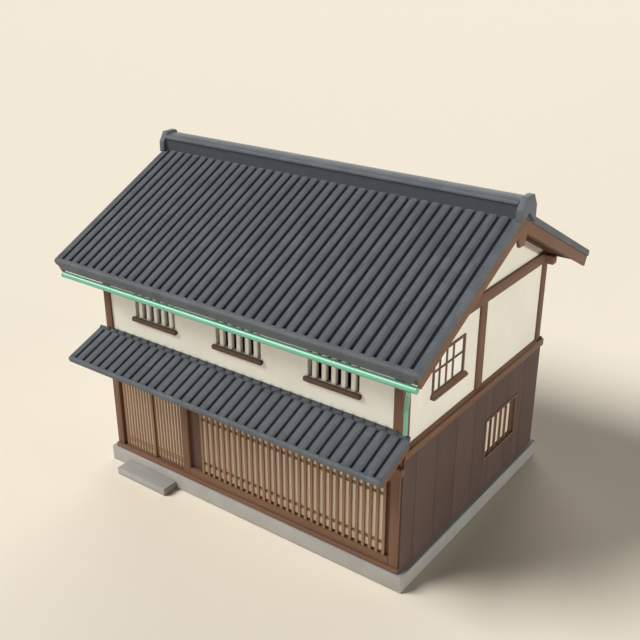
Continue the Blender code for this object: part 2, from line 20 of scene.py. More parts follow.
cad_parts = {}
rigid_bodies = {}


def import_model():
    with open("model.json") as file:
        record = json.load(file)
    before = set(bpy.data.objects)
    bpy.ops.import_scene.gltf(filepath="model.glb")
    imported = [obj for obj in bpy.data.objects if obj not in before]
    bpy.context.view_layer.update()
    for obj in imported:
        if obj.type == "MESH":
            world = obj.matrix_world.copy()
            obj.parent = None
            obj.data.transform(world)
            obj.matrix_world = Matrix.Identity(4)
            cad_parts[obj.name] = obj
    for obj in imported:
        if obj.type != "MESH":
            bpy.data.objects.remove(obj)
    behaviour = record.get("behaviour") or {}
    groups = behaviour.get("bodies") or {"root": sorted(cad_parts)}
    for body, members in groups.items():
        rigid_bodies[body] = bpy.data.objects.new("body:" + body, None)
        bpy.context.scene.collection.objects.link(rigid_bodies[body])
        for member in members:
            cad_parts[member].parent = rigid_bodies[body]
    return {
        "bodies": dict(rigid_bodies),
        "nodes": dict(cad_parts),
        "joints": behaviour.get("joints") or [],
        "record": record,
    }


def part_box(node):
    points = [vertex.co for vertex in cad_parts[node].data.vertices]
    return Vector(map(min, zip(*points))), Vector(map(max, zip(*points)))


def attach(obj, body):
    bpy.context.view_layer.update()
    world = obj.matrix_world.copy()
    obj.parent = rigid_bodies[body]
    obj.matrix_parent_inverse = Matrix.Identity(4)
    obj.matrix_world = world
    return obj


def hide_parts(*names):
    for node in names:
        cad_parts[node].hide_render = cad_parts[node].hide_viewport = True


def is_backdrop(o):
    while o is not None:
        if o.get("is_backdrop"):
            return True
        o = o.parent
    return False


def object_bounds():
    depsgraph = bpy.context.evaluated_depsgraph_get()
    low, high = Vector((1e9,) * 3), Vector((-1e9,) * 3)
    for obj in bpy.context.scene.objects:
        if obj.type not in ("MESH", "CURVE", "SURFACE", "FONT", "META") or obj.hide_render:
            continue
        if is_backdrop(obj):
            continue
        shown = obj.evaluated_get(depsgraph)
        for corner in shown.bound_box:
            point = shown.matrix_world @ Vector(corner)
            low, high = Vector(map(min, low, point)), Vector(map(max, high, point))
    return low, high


LOG = logging.getLogger("townhouse")
Spot = tuple[float, float]
Cut = tuple[float, float, float]  # a board on a slope: its end above the eave, and how deep its faces lie
Point = tuple[float, float, float]
Colour = tuple[float, float, float]

HOUSE = "house"
LEFT_LEAF = "left_leaf"
RIGHT_LEAF = "right_leaf"
HAIR = 0.0005  # clearance between pieces that touch


class Axis(Enum):
    """The way that a piece of timber's grain runs."""

    X = 0
    Y = 1
    Z = 2


class Side(Enum):
    """The two gable sides of the house, with the sign of their X."""

    LEFT = -1
    RIGHT = 1

    @property
    def label(self) -> str:
        """The side as the frame's nodes name it."""
        return self.name.lower()

    def span(self, inner: float, outer: float) -> Spot:
        """A stretch in X on this side, lowest first."""
        first, last = sorted((self.value * inner, self.value * outer))
        return first, last


# ---------------------------------------------------------------- materials


class Value:
    """A shader value whose sums, differences and products add Math nodes."""

    def __init__(self, shader: "Shader", socket: bpy.types.NodeSocket) -> None:
        """Wrap one output socket of a shader."""
        self.shader = shader
        self.socket = socket

    def _math(self, operation: str, *terms: "Operand", clamp: bool = False) -> "Value":
        """Add one Math node over some terms."""
        settings = {"operation": operation, "use_clamp": clamp}
        return self.shader.add("ShaderNodeMath", settings, dict(enumerate(terms))).value

    def __add__(self, other: "Operand") -> "Value":
        """Sum."""
        return self._math("ADD", self, other)

    __radd__ = __add__

    def __mul__(self, other: "Operand") -> "Value":
        """Product."""
        return self._math("MULTIPLY", self, other)

    __rmul__ = __mul__

    def __sub__(self, other: "Operand") -> "Value":
        """Difference."""
        return self._math("SUBTRACT", self, other)

    def __rsub__(self, other: "Operand") -> "Value":
        """Difference from a number."""
        return self._math("SUBTRACT", other, self)

    def __abs__(self) -> "Value":
        """Size without its sign."""
        return self._math("ABSOLUTE", self)

    def floor(self) -> "Value":
        """Whole part."""
        return self._math("FLOOR", self)

    def fraction(self) -> "Value":
        """Part after the whole."""
        return self._math("FRACT", self)

    def clamped(self) -> "Value":
        """The value held between zero and one."""
        return self._math("ADD", self, 0.0, clamp=True)

    def band(self, low: float, high: float) -> "Value":
        """A soft step from zero at low to one at high."""
        settings = {"interpolation_type": "SMOOTHSTEP"}
        node = self.shader.add("ShaderNodeMapRange", settings, {0: self, 1: low, 2: high})
        return node.value


Operand = Union[Value, float]
Input = Union[Value, "Node", float, Sequence[float]]


@dataclass
class Node:
    """One node that has been added to a shader."""

    shader: "Shader"
    made: bpy.types.Node

    def out(self, name: Union[str, int] = 0) -> bpy.types.NodeSocket:
        """One of the node's outputs, by name or place."""
        return self.made.outputs[name]

    @property
    def value(self) -> Value:
        """The first output, as a number."""
        return Value(self.shader, self.out())

    def number(self, name: Union[str, int]) -> Value:
        """A named output, as a number."""
        return Value(self.shader, self.out(name))


class Shader:
    """The node tree of one material, with a Principled shader at its end."""

    def __init__(self, name: str) -> None:
        """Make the material and keep its Principled node."""
        self.material = bpy.data.materials.new(name)
        self.material.use_nodes = True
        self.tree = self.material.node_tree
        self.principled = self.tree.nodes["Principled BSDF"]

    def add(self, kind: str, settings: dict | None = None, inputs: dict | None = None) -> Node:
        """Add one node.

        Args:
            kind: the node's Blender type.
            settings: properties to set before anything is linked; "stops" is a
                list of (place, colour) pairs for a ramp.
            inputs: values or links for the sockets, by name or place.

        Returns:
            The new node.
        """
        made = self.tree.nodes.new(kind)
        for key, setting in (settings or {}).items():
            if key == "stops":
                self._set_stops(made, setting)
            else:
                setattr(made, key, setting)
        for key, given in (inputs or {}).items():
            self.feed(made.inputs[key], given)
        return Node(self, made)

    @staticmethod
    def _set_stops(ramp: bpy.types.Node, stops: Sequence[tuple[float, Colour]]) -> None:
        """Give a ramp its stops, in order."""
        elements = ramp.color_ramp.elements
        while len(elements) < len(stops):
            elements.new(1.0)
        for element, (place, colour) in zip(elements, stops):
            element.position = place
            element.color = (*colour, 1.0)

    def feed(self, socket: bpy.types.NodeSocket, given: Input) -> None:
        """Link or set one input socket."""
        if isinstance(given, Value):
            self.tree.links.new(given.socket, socket)
        elif isinstance(given, Node):
            self.tree.links.new(given.out(), socket)
        elif isinstance(given, (int, float)):
            socket.default_value = given
        elif len(given) == 3 and socket.type == "RGBA":
            socket.default_value = (*given, 1.0)
        else:
            socket.default_value = tuple(given)

    def place(self, scale: Sequence[float] = (1.0, 1.0, 1.0)) -> Node:
        """Object coordinates, stretched by a scale."""
        coordinates = self.add("ShaderNodeTexCoord")
        node = self.add("ShaderNodeMapping", {}, {"Scale": scale})
        self.tree.links.new(coordinates.out("Object"), node.made.inputs["Vector"])
        return node

    def part(self, axis: Axis, scale: float = 1.0) -> Value:
        """One object coordinate, times a scale."""
        coordinates = self.add("ShaderNodeTexCoord")
        split = self.add("ShaderNodeSeparateXYZ")
        self.tree.links.new(coordinates.out("Object"), split.made.inputs[0])
        return split.number(axis.value) * scale

    def noise(self, place: Node, scale: float, detail: float = 3.0, roughness: float = 0.55) -> Value:
        """Cloudy noise between about 0.2 and 0.8."""
        inputs = {"Vector": place, "Scale": scale, "Detail": detail, "Roughness": roughness}
        return self.add("ShaderNodeTexNoise", {}, inputs).number("Fac")

    def island(self) -> Value:
        """A random number for each separate solid of a mesh."""
        return self.add("ShaderNodeNewGeometry").number("Random Per Island")

    def mix(self, factor: Operand, first: Union[Node, Colour], second: Union[Node, Colour]) -> Node:
        """Mix two colours."""
        return self.add("ShaderNodeMixRGB", {}, {0: factor, 1: first, 2: second})

    def ramp(self, factor: Value, stops: Sequence[tuple[float, Colour]]) -> Node:
        """Turn a number into a colour."""
        return self.add("ShaderNodeValToRGB", {"stops": stops}, {"Fac": factor})

    def finish(self, colour: Union[Node, Colour], roughness: Operand, height: Value | None = None,
               depth: float = 0.002, strength: float = 0.6, **fixed: float) -> bpy.types.Material:
        """Feed the Principled node.

        Args:
            colour: base colour.
            roughness: roughness, which may vary over the surface.
            height: relief for the bump, from 0 to 1.
            depth: how far the relief stands out, in metres.
            strength: strength of the bump.
            fixed: other sockets' constant values, with _ for a space.

        Returns:
            The finished material.
        """
        self.feed(self.principled.inputs["Base Color"], colour)
        self.feed(self.principled.inputs["Roughness"], roughness)
        for name, value in fixed.items():
            self.principled.inputs[name.replace("_", " ")].default_value = value
        if height is not None:
            relief = {"Strength": strength, "Distance": depth, "Height": height}
            self.feed(self.principled.inputs["Normal"], self.add("ShaderNodeBump", {}, relief))
        return self.material


def once(name: str, make: Callable[[Shader], bpy.types.Material]) -> bpy.types.Material:
    """The material of this name, made by a function at its first use."""
    return bpy.data.materials.get(name) or make(Shader(name))


class Finish:
    """A surface whose material is made once and then shared."""

    name: str

    def material(self) -> bpy.types.Material:
        """The shared material."""
        return once(self.name, self.surface)

    def surface(self, shader: Shader) -> bpy.types.Material:
        """Build the material's nodes; each finish has its own."""
        raise NotImplementedError


@dataclass(frozen=True)
class Timber:
    """Stained, planed cedar with its grain along one axis."""

    name: str
    light: Colour
    dark: Colour
    slot: str
    roughness: float = 0.62

    def material(self, axis: Axis) -> bpy.types.Material:
        """The shared material for a grain direction.

        Args:
            axis: the way the grain runs.

        Returns:
            The material, made at its first use.
        """
        return once(f"{self.name}_{axis.name.lower()}", lambda shader: self._surface(shader, axis))

    def _surface(self, shader: Shader, axis: Axis) -> bpy.types.Material:
        """Figure and pores drawn out along the grain, moved from piece to piece."""
        along = [1.0, 1.0, 1.0]
        along[axis.value] = 0.045
        lift = shader.add("ShaderNodeCombineXYZ", {}, {0: shader.island() * 7.0, 1: shader.island() * 3.0,
                                                      2: shader.island() * 5.0})
        shift = shader.add("ShaderNodeVectorMath", {"operation": "ADD"}, {0: shader.place(along), 1: lift})
        figure = shader.noise(shift, 16.0, 4.0, 0.6)
        pores = shader.noise(shift, 110.0, 2.0, 0.7)
        weather = shader.noise(shader.place(), 1.3, 3.0)
        tone = (figure * 0.62 + pores * 0.22 + weather * 0.3 + shader.island() * 0.14 - 0.1).clamped()
        colour = shader.ramp(tone, [(0.2, self.dark), (0.75, self.light)])
        roughness = self.roughness + pores * 0.22 - 0.11
        height = figure * 0.6 + pores * 0.4
        return shader.finish(colour, roughness, height, 0.0035, 0.35, Specular_IOR_Level=0.3)


@dataclass(frozen=True)
class Boards(Finish):
    """Weathered dark boards, each board its own shade."""

    name: str = "dark_boards"
    light: Colour = (0.120, 0.077, 0.060)
    dark: Colour = (0.080, 0.051, 0.041)
    slot: str = "board_siding"

    def surface(self, shader: Shader) -> bpy.types.Material:
        """Streaks and fibres along each board, weather over them and dust at the foot."""
        place = shader.place((1.0, 1.0, 0.05))
        streaks = shader.noise(place, 14.0, 4.0, 0.62)
        fibres = shader.noise(place, 95.0, 2.0, 0.7)
        weather = shader.noise(shader.place(), 0.9, 4.0)
        foot = 1.0 - shader.part(Axis.Z).band(0.35, 1.1)
        tone = (streaks * 0.5 + fibres * 0.2 + weather * 0.35 + shader.island() * 0.22 - 0.14).clamped()
        colour = shader.ramp(tone, [(0.2, self.dark), (0.8, self.light)])
        dusty = shader.mix(foot * weather * 0.22, colour, (0.16, 0.13, 0.105))
        return shader.finish(dusty, 0.66 + fibres * 0.2, streaks * 0.6 + fibres * 0.4, 0.004, 0.35,
                             Specular_IOR_Level=0.25)


@dataclass(frozen=True)
class Glow:
    """A painted glow: emission that makes pale screens look lit from rooms behind them, though there is no
    lamp.
    """

    strength: float
    tint: Colour = (1.0, 0.86, 0.68)

    def lend(self, material: bpy.types.Material) -> bpy.types.Material:
        """Give a finished material this faint painted glow."""
        principled = material.node_tree.nodes["Principled BSDF"]
        principled.inputs["Emission Color"].default_value = (*self.tint, 1.0)
        principled.inputs["Emission Strength"].default_value = self.strength
        return material


@dataclass(frozen=True)
class Plaster(Finish):
    """Cream lime plaster, floated by hand, with faint rain marks."""

    name: str = "lime_plaster"
    base: Colour = (0.85, 0.815, 0.705)
    warm: Colour = (0.80, 0.755, 0.645)
    slot: str = "plaster"

    def surface(self, shader: Shader) -> bpy.types.Material:
        """Soft clouds and rain marks over the sweep of the float."""
        place = shader.place()
        clouds = shader.noise(place, 1.1, 5.0, 0.55)
        sweep = shader.noise(shader.place((1.0, 1.0, 2.4)), 5.5, 4.0, 0.6)
        grit = shader.noise(place, 190.0, 2.0, 0.7)
        rain = shader.noise(shader.place((6.0, 6.0, 0.35)), 2.0, 3.0)
        tone = (clouds * 0.8 + rain * 0.35 - 0.05).clamped()
        colour = shader.ramp(tone, [(0.25, self.warm), (0.7, self.base)])
        height = sweep * 0.7 + grit * 0.3
        return shader.finish(colour, 0.86 + grit * 0.1, height, 0.0035, 0.3, Specular_IOR_Level=0.2)


@dataclass(frozen=True)
class ClayTile(Finish):
    """Smoked grey roof tile, each column and course a slightly different grey."""

    name: str
    pitch: float
    course: float = 0.27
    light: Colour = (0.118, 0.130, 0.142)
    dark: Colour = (0.070, 0.078, 0.089)
    slot: str = "roof_tile"
    joints: bool = True
    # two dark greys of the painted shade in the channels
    painted_shade_deep: Colour = (0.084, 0.092, 0.105)
    painted_shade_pale: Colour = (0.122, 0.133, 0.148)

    def surface(self, shader: Shader) -> bpy.types.Material:
        """A shade for each tile, with cloudy bloom and a faint lip at each course."""
        place = shader.place()
        column = (shader.part(Axis.X, 1.0 / self.pitch) + 0.5).floor()
        down = abs(shader.part(Axis.Y, 1.0 / self.course))
        key = shader.add("ShaderNodeCombineXYZ", {}, {0: column, 1: down.floor(), 2: 0.0})
        shade = shader.add("ShaderNodeTexWhiteNoise", {"noise_dimensions": "2D"}, {"Vector": key})
        clouds = shader.noise(place, 2.2, 4.0, 0.6)
        bloom = shader.noise(place, 34.0, 3.0, 0.65)
        grain = shader.noise(place, 260.0, 2.0, 0.7)
        tone = (clouds * 0.45 + bloom * 0.3 + shade.number("Value") * 0.30).clamped()
        colour = shader.ramp(tone, [(0.2, self.dark), (0.8, self.light)])
        height = bloom * 0.5 + grain * 0.25
        if self.joints:
            lip = down.fraction().band(0.0, 0.10)
            height = height + lip * 0.8
            colour = shader.mix((1.0 - lip) * 0.16, colour, (0.05, 0.054, 0.06))
        roughness = 0.50 + bloom * 0.22
        return shader.finish(colour, roughness, height, 0.003, 0.35, Specular_IOR_Level=0.35)

    def channel_shade_material(self) -> bpy.types.Material:
        """The shared material of the channels, dark with painted shade."""
        return once(f"{self.name}_channel", self._channel_surface)

    def _channel_surface(self, shader: Shader) -> bpy.types.Material:
        """Painted shade for the floors and walls of the channels: clouds of two dark greys."""
        place = shader.place()
        clouds = shader.noise(place, 5.0, 4.0, 0.6)
        grain = shader.noise(place, 90.0, 3.0, 0.7)
        colour = shader.ramp((clouds * 0.6 + grain * 0.4).clamped(), [(0.25, self.painted_shade_deep), (0.75, self.painted_shade_pale)])
        return shader.finish(colour, 0.78 + grain * 0.12, grain, 0.003, 0.35, Specular_IOR_Level=0.2)


@dataclass(frozen=True)
class Stone(Finish):
    """Dressed granite: fine speckle, soft clouds and a darker foot."""

    name: str = "granite"
    light: Colour = (0.395, 0.378, 0.348)
    dark: Colour = (0.295, 0.283, 0.260)
    slot: str = "stone"

    def surface(self, shader: Shader) -> bpy.types.Material:
        """Speckle and pits, darker where the foot is damp."""
        place = shader.place()
        clouds = shader.noise(place, 1.7, 4.0)
        speckle = shader.noise(place, 120.0, 2.0, 0.8)
        pits = shader.noise(place, 38.0, 3.0, 0.7)
        foot = 1.0 - shader.part(Axis.Z).band(0.0, 0.09)
        tone = (clouds * 0.5 + speckle * 0.42 + pits * 0.12).clamped()
        colour = shader.ramp(tone, [(0.3, self.dark), (0.7, self.light)])
        damp = shader.mix(foot * clouds * 0.4, colour, (0.22, 0.205, 0.18))
        return shader.finish(damp, 0.80 + speckle * 0.12, speckle * 0.5 + pits * 0.5, 0.003, 0.35,
                             Specular_IOR_Level=0.3)


@dataclass(frozen=True)
class GreenCopper(Finish):
    """Copper under an even green patina, browner where hands and water rub it."""

    name: str = "green_copper"
    light: Colour = (0.125, 0.240, 0.172)
    dark: Colour = (0.092, 0.190, 0.135)
    slot: str = "green_copper"

    def surface(self, shader: Shader) -> bpy.types.Material:
        """Clouds, spots and runs of green, rubbed brown in places."""
        place = shader.place()
        clouds = shader.noise(place, 4.0, 5.0, 0.62)
        spots = shader.noise(place, 46.0, 3.0, 0.65)
        runs = shader.noise(shader.place((9.0, 9.0, 0.7)), 3.0, 3.0)
        tone = (clouds * 0.55 + spots * 0.25 + runs * 0.25).clamped()
        colour = shader.ramp(tone, [(0.25, self.dark), (0.75, self.light)])
        brown = (spots - 0.58).band(0.0, 0.12) * 0.35
        aged = shader.mix(brown, colour, (0.17, 0.20, 0.13))
        return shader.finish(aged, 0.76 + clouds * 0.15, spots * 0.7 + clouds * 0.3, 0.0015, 0.3,
                             Metallic=0.0, Specular_IOR_Level=0.12)


@dataclass(frozen=True)
class Paper(Finish):
    """Warm mulberry paper with long fibres and a faint painted glow."""

    name: str = "mulberry_paper"
    base: Colour = (0.70, 0.60, 0.47)
    fibre: Colour = (0.76, 0.67, 0.54)
    slot: str = "paper"
    glow: Glow = Glow(0.07)

    def surface(self, shader: Shader) -> bpy.types.Material:
        """Long fibres in soft clouds."""
        clouds = shader.noise(shader.place(), 3.0, 4.0)
        fibres = shader.noise(shader.place((1.0, 1.0, 0.2)), 60.0, 4.0, 0.75)
        colour = shader.mix((fibres * 0.7 + clouds * 0.4 - 0.1).clamped(), self.base, self.fibre)
        finished = shader.finish(colour, 0.92, fibres, 0.0008, 0.3, Specular_IOR_Level=0.15)
        # painted glow: the paper gives off a little light of its own
        return self.glow.lend(finished)


FRAME_WOOD = Timber("frame_wood", (0.188, 0.096, 0.056), (0.119, 0.059, 0.035), "frame_timber")
DARK_WOOD = Timber("dark_wood", (0.135, 0.072, 0.048), (0.075, 0.042, 0.030), "frame_timber")
WINDOW_WOOD = Timber("window_wood", (0.168, 0.104, 0.069), (0.105, 0.064, 0.043), "frame_timber")
SLAT_WOOD = Timber("slat_wood", (0.292, 0.162, 0.088), (0.200, 0.108, 0.058), "lattice_timber")
BOARDS = Boards()
PLASTER = Plaster()
STONE = Stone()
COPPER = GreenCopper()
PAPER = Paper()
RIDGE_CLAY = ClayTile("clay_ridge", 0.30, joints=False)
# the ridge wall under its projecting course: painted shade, darker than in the channels
RIDGE_WALL_SHADE = ClayTile("clay_ridge_wall", 0.30, painted_shade_deep=(0.050, 0.057, 0.064), painted_shade_pale=(0.072, 0.081, 0.089))
# darker copy of the tile clay: painted shade on the strip along the wall
STRIP_SHADE_CLAY = ClayTile("clay_strip", 0.30, light=(0.082, 0.090, 0.099), dark=(0.052, 0.058, 0.066),
                      joints=False)
# paper of the upper side windows, with a painted glow of its own
SCREEN_PAPER = Paper("white_paper", (0.86, 0.82, 0.73), (0.90, 0.87, 0.80),
                     glow=Glow(0.06, (1.0, 0.95, 0.85)))


# ------------------------------------------------------------------ meshes


class Solid:
    """A mesh put together from blocks, prisms and grids, then dressed and placed."""

    def __init__(self, name: str) -> None:
        """Start an empty solid.

        Args:
            name: name of the piece.
        """
        self.name = name
        self.bm = bmesh.new()
        self.finishes: list[bpy.types.Material] = []

    def finish_index(self, finish: bpy.types.Material) -> int:
        """The place of a material on this piece, added if it is new."""
        if finish not in self.finishes:
            self.finishes.append(finish)
        return self.finishes.index(finish)

    def _bevel(self, edges: Iterable[bmesh.types.BMEdge], width: float, segments: int) -> None:
        """Round some edges."""
        if width > 0.0:
            bmesh.ops.bevel(self.bm, geom=list(edges), offset=width, offset_type="OFFSET", segments=segments,
                            profile=0.5, affect="EDGES", clamp_overlap=True)

    def block(self, low: Sequence[float], high: Sequence[float], finish: bpy.types.Material,
              round_by: float = 0.006, segments: int = 2) -> None:
        """Add a block with rounded edges.

        Args:
            low: lowest corner.
            high: highest corner.
            finish: its material.
            round_by: radius of its edges.
            segments: steps around each edge.
        """
        before = set(self.bm.faces)
        size = Vector(high) - Vector(low)
        middle = (Vector(high) + Vector(low)) / 2
        matrix = Matrix.Translation(middle) @ Matrix.Diagonal((*size, 1.0))
        cube = bmesh.ops.create_cube(self.bm, size=1.0, matrix=matrix)
        edges = {edge for vert in cube["verts"] for edge in vert.link_edges}
        self._bevel(edges, min(round_by, min(size) * 0.45), segments)
        self._dress_new(before, finish)

    def prism(self, outline: Sequence[Spot], plane: str, span: Spot,
              finish: bpy.types.Material, round_by: float = 0.006, segments: int = 2) -> None:
        """Add a flat outline with a thickness.

        Args:
            outline: corners in the plane, in order.
            plane: "xy", "xz" or "yz".
            span: where the solid starts and ends along the third axis.
            finish: its material.
            round_by: radius of its edges.
            segments: steps around each edge.
        """
        before = set(self.bm.faces)
        order = {"xy": (0, 1, 2), "xz": (0, 2, 1), "yz": (1, 2, 0)}[plane]
        rings = []
        for depth in span:
            ring = []
            for u, v in outline:
                corner = [0.0, 0.0, 0.0]
                corner[order[0]], corner[order[1]], corner[order[2]] = u, v, depth
                ring.append(self.bm.verts.new(corner))
            rings.append(ring)
        faces = [self.bm.faces.new(rings[0]), self.bm.faces.new(list(reversed(rings[1])))]
        count = len(outline)
        for i in range(count):
            j = (i + 1) % count
            faces.append(self.bm.faces.new((rings[0][i], rings[1][i], rings[1][j], rings[0][j])))
        bmesh.ops.recalc_face_normals(self.bm, faces=faces)
        edges = {edge for face in faces for edge in face.edges if edge.calc_face_angle(0.0) > 0.5}
        self._bevel(edges, round_by, segments)
        self._dress_new(before, finish)

    def _dress_new(self, before: set[bmesh.types.BMFace], finish: bpy.types.Material) -> None:
        """Give the faces added since a moment their material."""
        index = self.finish_index(finish)
        for face in self.bm.faces:
            if face not in before:
                face.material_index = index

    def shell(self, rows: Sequence[Sequence[Point]], finish: bpy.types.Material, close: bool = False,
              caps: bool = False) -> None:
        """Add a skin through rows of points.

        Args:
            rows: rows with the same number of points.
            finish: its material.
            close: join each row's last point to its first.
            caps: close the first and last rows with a face.
        """
        before = set(self.bm.faces)
        grid = [[self.bm.verts.new(point) for point in row] for row in rows]
        columns = len(rows[0]) if close else len(rows[0]) - 1
        for i in range(len(rows) - 1):
            for j in range(columns):
                k = (j + 1) % len(rows[0])
                self.bm.faces.new((grid[i][j], grid[i][k], grid[i + 1][k], grid[i + 1][j]))
        if caps:
            self.bm.faces.new(list(reversed(grid[0])))
            self.bm.faces.new(grid[-1])
        self._dress_new(before, finish)

    def tube(self, route: Sequence[Point], radius: float, finish: bpy.types.Material,
             sides: int = 20) -> None:
        """Add a round bar along a route, with closed ends."""
        turns = [2 * math.pi * k / sides for k in range(sides)]
        rows = []
        for i, point in enumerate(route):
            middle = Vector(point)
            before = Vector(route[max(i - 1, 0)])
            after = Vector(route[min(i + 1, len(route) - 1)])
            ahead = (after - before).normalized()
            across = ahead.cross(Vector((0.0, 1.0, 0.0)))
            if across.length < 0.2:
                across = ahead.cross(Vector((1.0, 0.0, 0.0)))
            across.normalize()
            up = across.cross(ahead)
            rows.append([tuple(middle + across * radius * math.cos(turn) + up * radius * math.sin(turn))
                         for turn in turns])
        self.shell(rows, finish, close=True, caps=True)

    def place(self, body: str, slot: str, *nodes: str, smooth: float = 40.0) -> None:
        """Make the object, let it ride and hide the frame nodes that it replaces.

        Args:
            body: the frame body that it moves with.
            slot: its material slot in the record; not used.
            nodes: the frame nodes that it replaces.
            smooth: edges flatter than this, in degrees, are shaded smooth.
        """
        bmesh.ops.recalc_face_normals(self.bm, faces=self.bm.faces)
        mesh = bpy.data.meshes.new(self.name)
        self.bm.to_mesh(mesh)
        self.bm.free()
        for finish in self.finishes:
            mesh.materials.append(finish)
        mesh.shade_smooth()
        mesh.set_sharp_from_angle(angle=math.radians(smooth))
        piece = bpy.data.objects.new(self.name, mesh)
        bpy.context.scene.collection.objects.link(piece)
        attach(piece, body)
        if nodes:
            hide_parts(*nodes)
        LOG.info("%s: %d faces on %s", self.name, len(mesh.polygons), body)


def depths(low: Vector, high: Vector) -> Spot:
    """How far a side piece's inner and outer faces stand from the house's middle plane."""
    inner, outer = sorted((abs(low.x), abs(high.x)))
    return inner, outer


def mirrored(outline: Iterable[Spot], sign: int = -1) -> list[Spot]:
    """An outline with a sign given to its first coordinates."""
    return [(sign * first, second) for first, second in outline]


def arc(centre: Spot, radius: float, start: float, end: float, steps: int) -> list[Spot]:
    """Points along a round stretch, with angles in degrees."""
    turns = [math.radians(start + (end - start) * i / steps) for i in range(steps + 1)]
    return [(centre[0] + radius * math.cos(turn), centre[1] + radius * math.sin(turn)) for turn in turns]


def spread(start: float, end: float, count: int) -> list[float]:
    """Evenly spaced values, both ends included."""
    return [start + (end - start) * i / (count - 1) for i in range(count)]


def dress(node: str, finish: bpy.types.Material, frame: dict) -> None:
    """Give a frame node its finish, with its shape left as it is."""
    for place in frame["nodes"][node].material_slots:
        place.material = finish


# ---------------------------------------------------------------- the frame


@dataclass
class TimberFrame:
    """Posts and beams, each planed with eased edges, over the frame's own blocks."""

    ease: float = 0.010
    belt_fall: float = 0.04
    strip: Spot = (0.04, 0.075)
    strip_top: float = 0.35
    frame_nodes: dict[str, Axis] = field(default_factory=lambda: {
        "corner_post_front_left": Axis.Z, "corner_post_front_right": Axis.Z,
        "corner_post_back_left": Axis.Z, "corner_post_back_right": Axis.Z,
        "middle_post_left": Axis.Z, "middle_post_right": Axis.Z, "door_post": Axis.Z,
        "tie_beam_left": Axis.Y, "tie_beam_right": Axis.Y,
        "belt_back": Axis.X,
        "eave_girder_front": Axis.X, "eave_girder_back": Axis.X,
        "threshold": Axis.X, "door_lintel": Axis.X, "front_girder": Axis.X,
    })

    def build(self) -> None:
        """Make every straight post and beam."""
        for node, axis in self.frame_nodes.items():
            low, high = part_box(node)
            solid = Solid(f"{node}_timber")
            solid.block(low, high, FRAME_WOOD.material(axis), self.ease)
            solid.place(HOUSE, FRAME_WOOD.slot, node)
        for side in Side:
            self._build_belt(side)
        self._build_sill()
        self._build_back_frame()

    def _build_belt(self, side: Side) -> None:
        """Belt of a gable side with a sloping cap up to the plaster, and a strip beside the corner post. The
        cap's lighter slat wood is painted light on a ledge that lies in shade.
        """
        low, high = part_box(f"belt_{side.label}")
        plaster = depths(*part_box(f"gable_wall_{side.label}"))[1] + HAIR
        inner, outer = depths(low, high)
        lip = self.belt_fall * (inner - plaster) / (outer - plaster)
        belt = Solid(f"belt_{side.label}_timber")
        face = [(inner, low.z), (outer, low.z), (outer, high.z - self.belt_fall), (inner, high.z - lip)]
        belt.prism(mirrored(face, side.value), "xz", (low.y, high.y), FRAME_WOOD.material(Axis.Y), 0.004)
        belt.place(HOUSE, FRAME_WOOD.slot, f"belt_{side.label}")
        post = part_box(f"corner_post_front_{side.label}")[1]
        end = abs(post.y) - HAIR
        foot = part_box(f"siding_wall_{side.label}")[1].z + HAIR
        edge = inner - HAIR
        cap = [(plaster, foot), (edge, foot), (edge, high.z - lip), (plaster, high.z)]
        solid = Solid(f"belt_{side.label}_cap")
        # lighter slat wood on the cap: painted light on a top that lies in shade
        solid.prism(mirrored(cap, side.value), "xz", (-end, end), SLAT_WOOD.material(Axis.Y), 0.0)
        solid.place(HOUSE, SLAT_WOOD.slot)
        x0, x1 = side.span(plaster, plaster + self.strip[0])
        strip = Solid(f"post_{side.label}_strip")
        strip.block((x0, -end, high.z + 2 * HAIR), (x1, self.strip[1] - end, post.z - self.strip_top),
                    FRAME_WOOD.material(Axis.Z), 0.004)
        strip.place(HOUSE, FRAME_WOOD.slot)

    def _build_sill(self) -> None:
        """Front sill, wider in front of the boards of the sides."""
        low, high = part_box("front_sill")
        side_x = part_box("corner_post_front_right")[1].x
        notch_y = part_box("siding_wall_right")[0].y - HAIR
        solid = Solid("front_sill_timber")
        finish = FRAME_WOOD.material(Axis.X)
        plan = [(high.x, low.y), (high.x, notch_y), (side_x, notch_y), (side_x, high.y)]
        plan += mirrored(reversed(plan))
        solid.prism(plan, "xy", (low.z, high.z), finish, self.ease)
        solid.place(HOUSE, FRAME_WOOD.slot, "front_sill")

    def _build_back_frame(self) -> None:
        """Posts and head rail of the back wall, as separate timbers."""
        low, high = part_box("back_frame")
        solid = Solid("back_frame_timber")
        rail, half = 0.16, 0.26 / 3
        solid.block((low.x, low.y, high.z - rail), high, FRAME_WOOD.material(Axis.X), self.ease)
        for middle in (low.x / 2, 0.0, high.x / 2):
            solid.block((middle - half, low.y, low.z), (middle + half, high.y, high.z - rail - 2 * HAIR),
                        FRAME_WOOD.material(Axis.Z), self.ease)
        solid.place(HOUSE, FRAME_WOOD.slot, "back_frame")


@dataclass
class Ground:
    """Stone plinth and step stone."""

    ease: float = 0.022

    def build(self, frame: dict) -> None:
        """Make the two stones and dress the floors."""
        for node in ("plinth", "step_stone"):
            low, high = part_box(node)
            solid = Solid(f"{node}_granite")
            solid.block(low, high, STONE.material(), self.ease, 3)
            solid.place(HOUSE, STONE.slot, node)
        for node in ("ground_floor", "upper_floor"):
            dress(node, FRAME_WOOD.material(Axis.X), frame)


# ---------------------------------------------------------------- the roofs


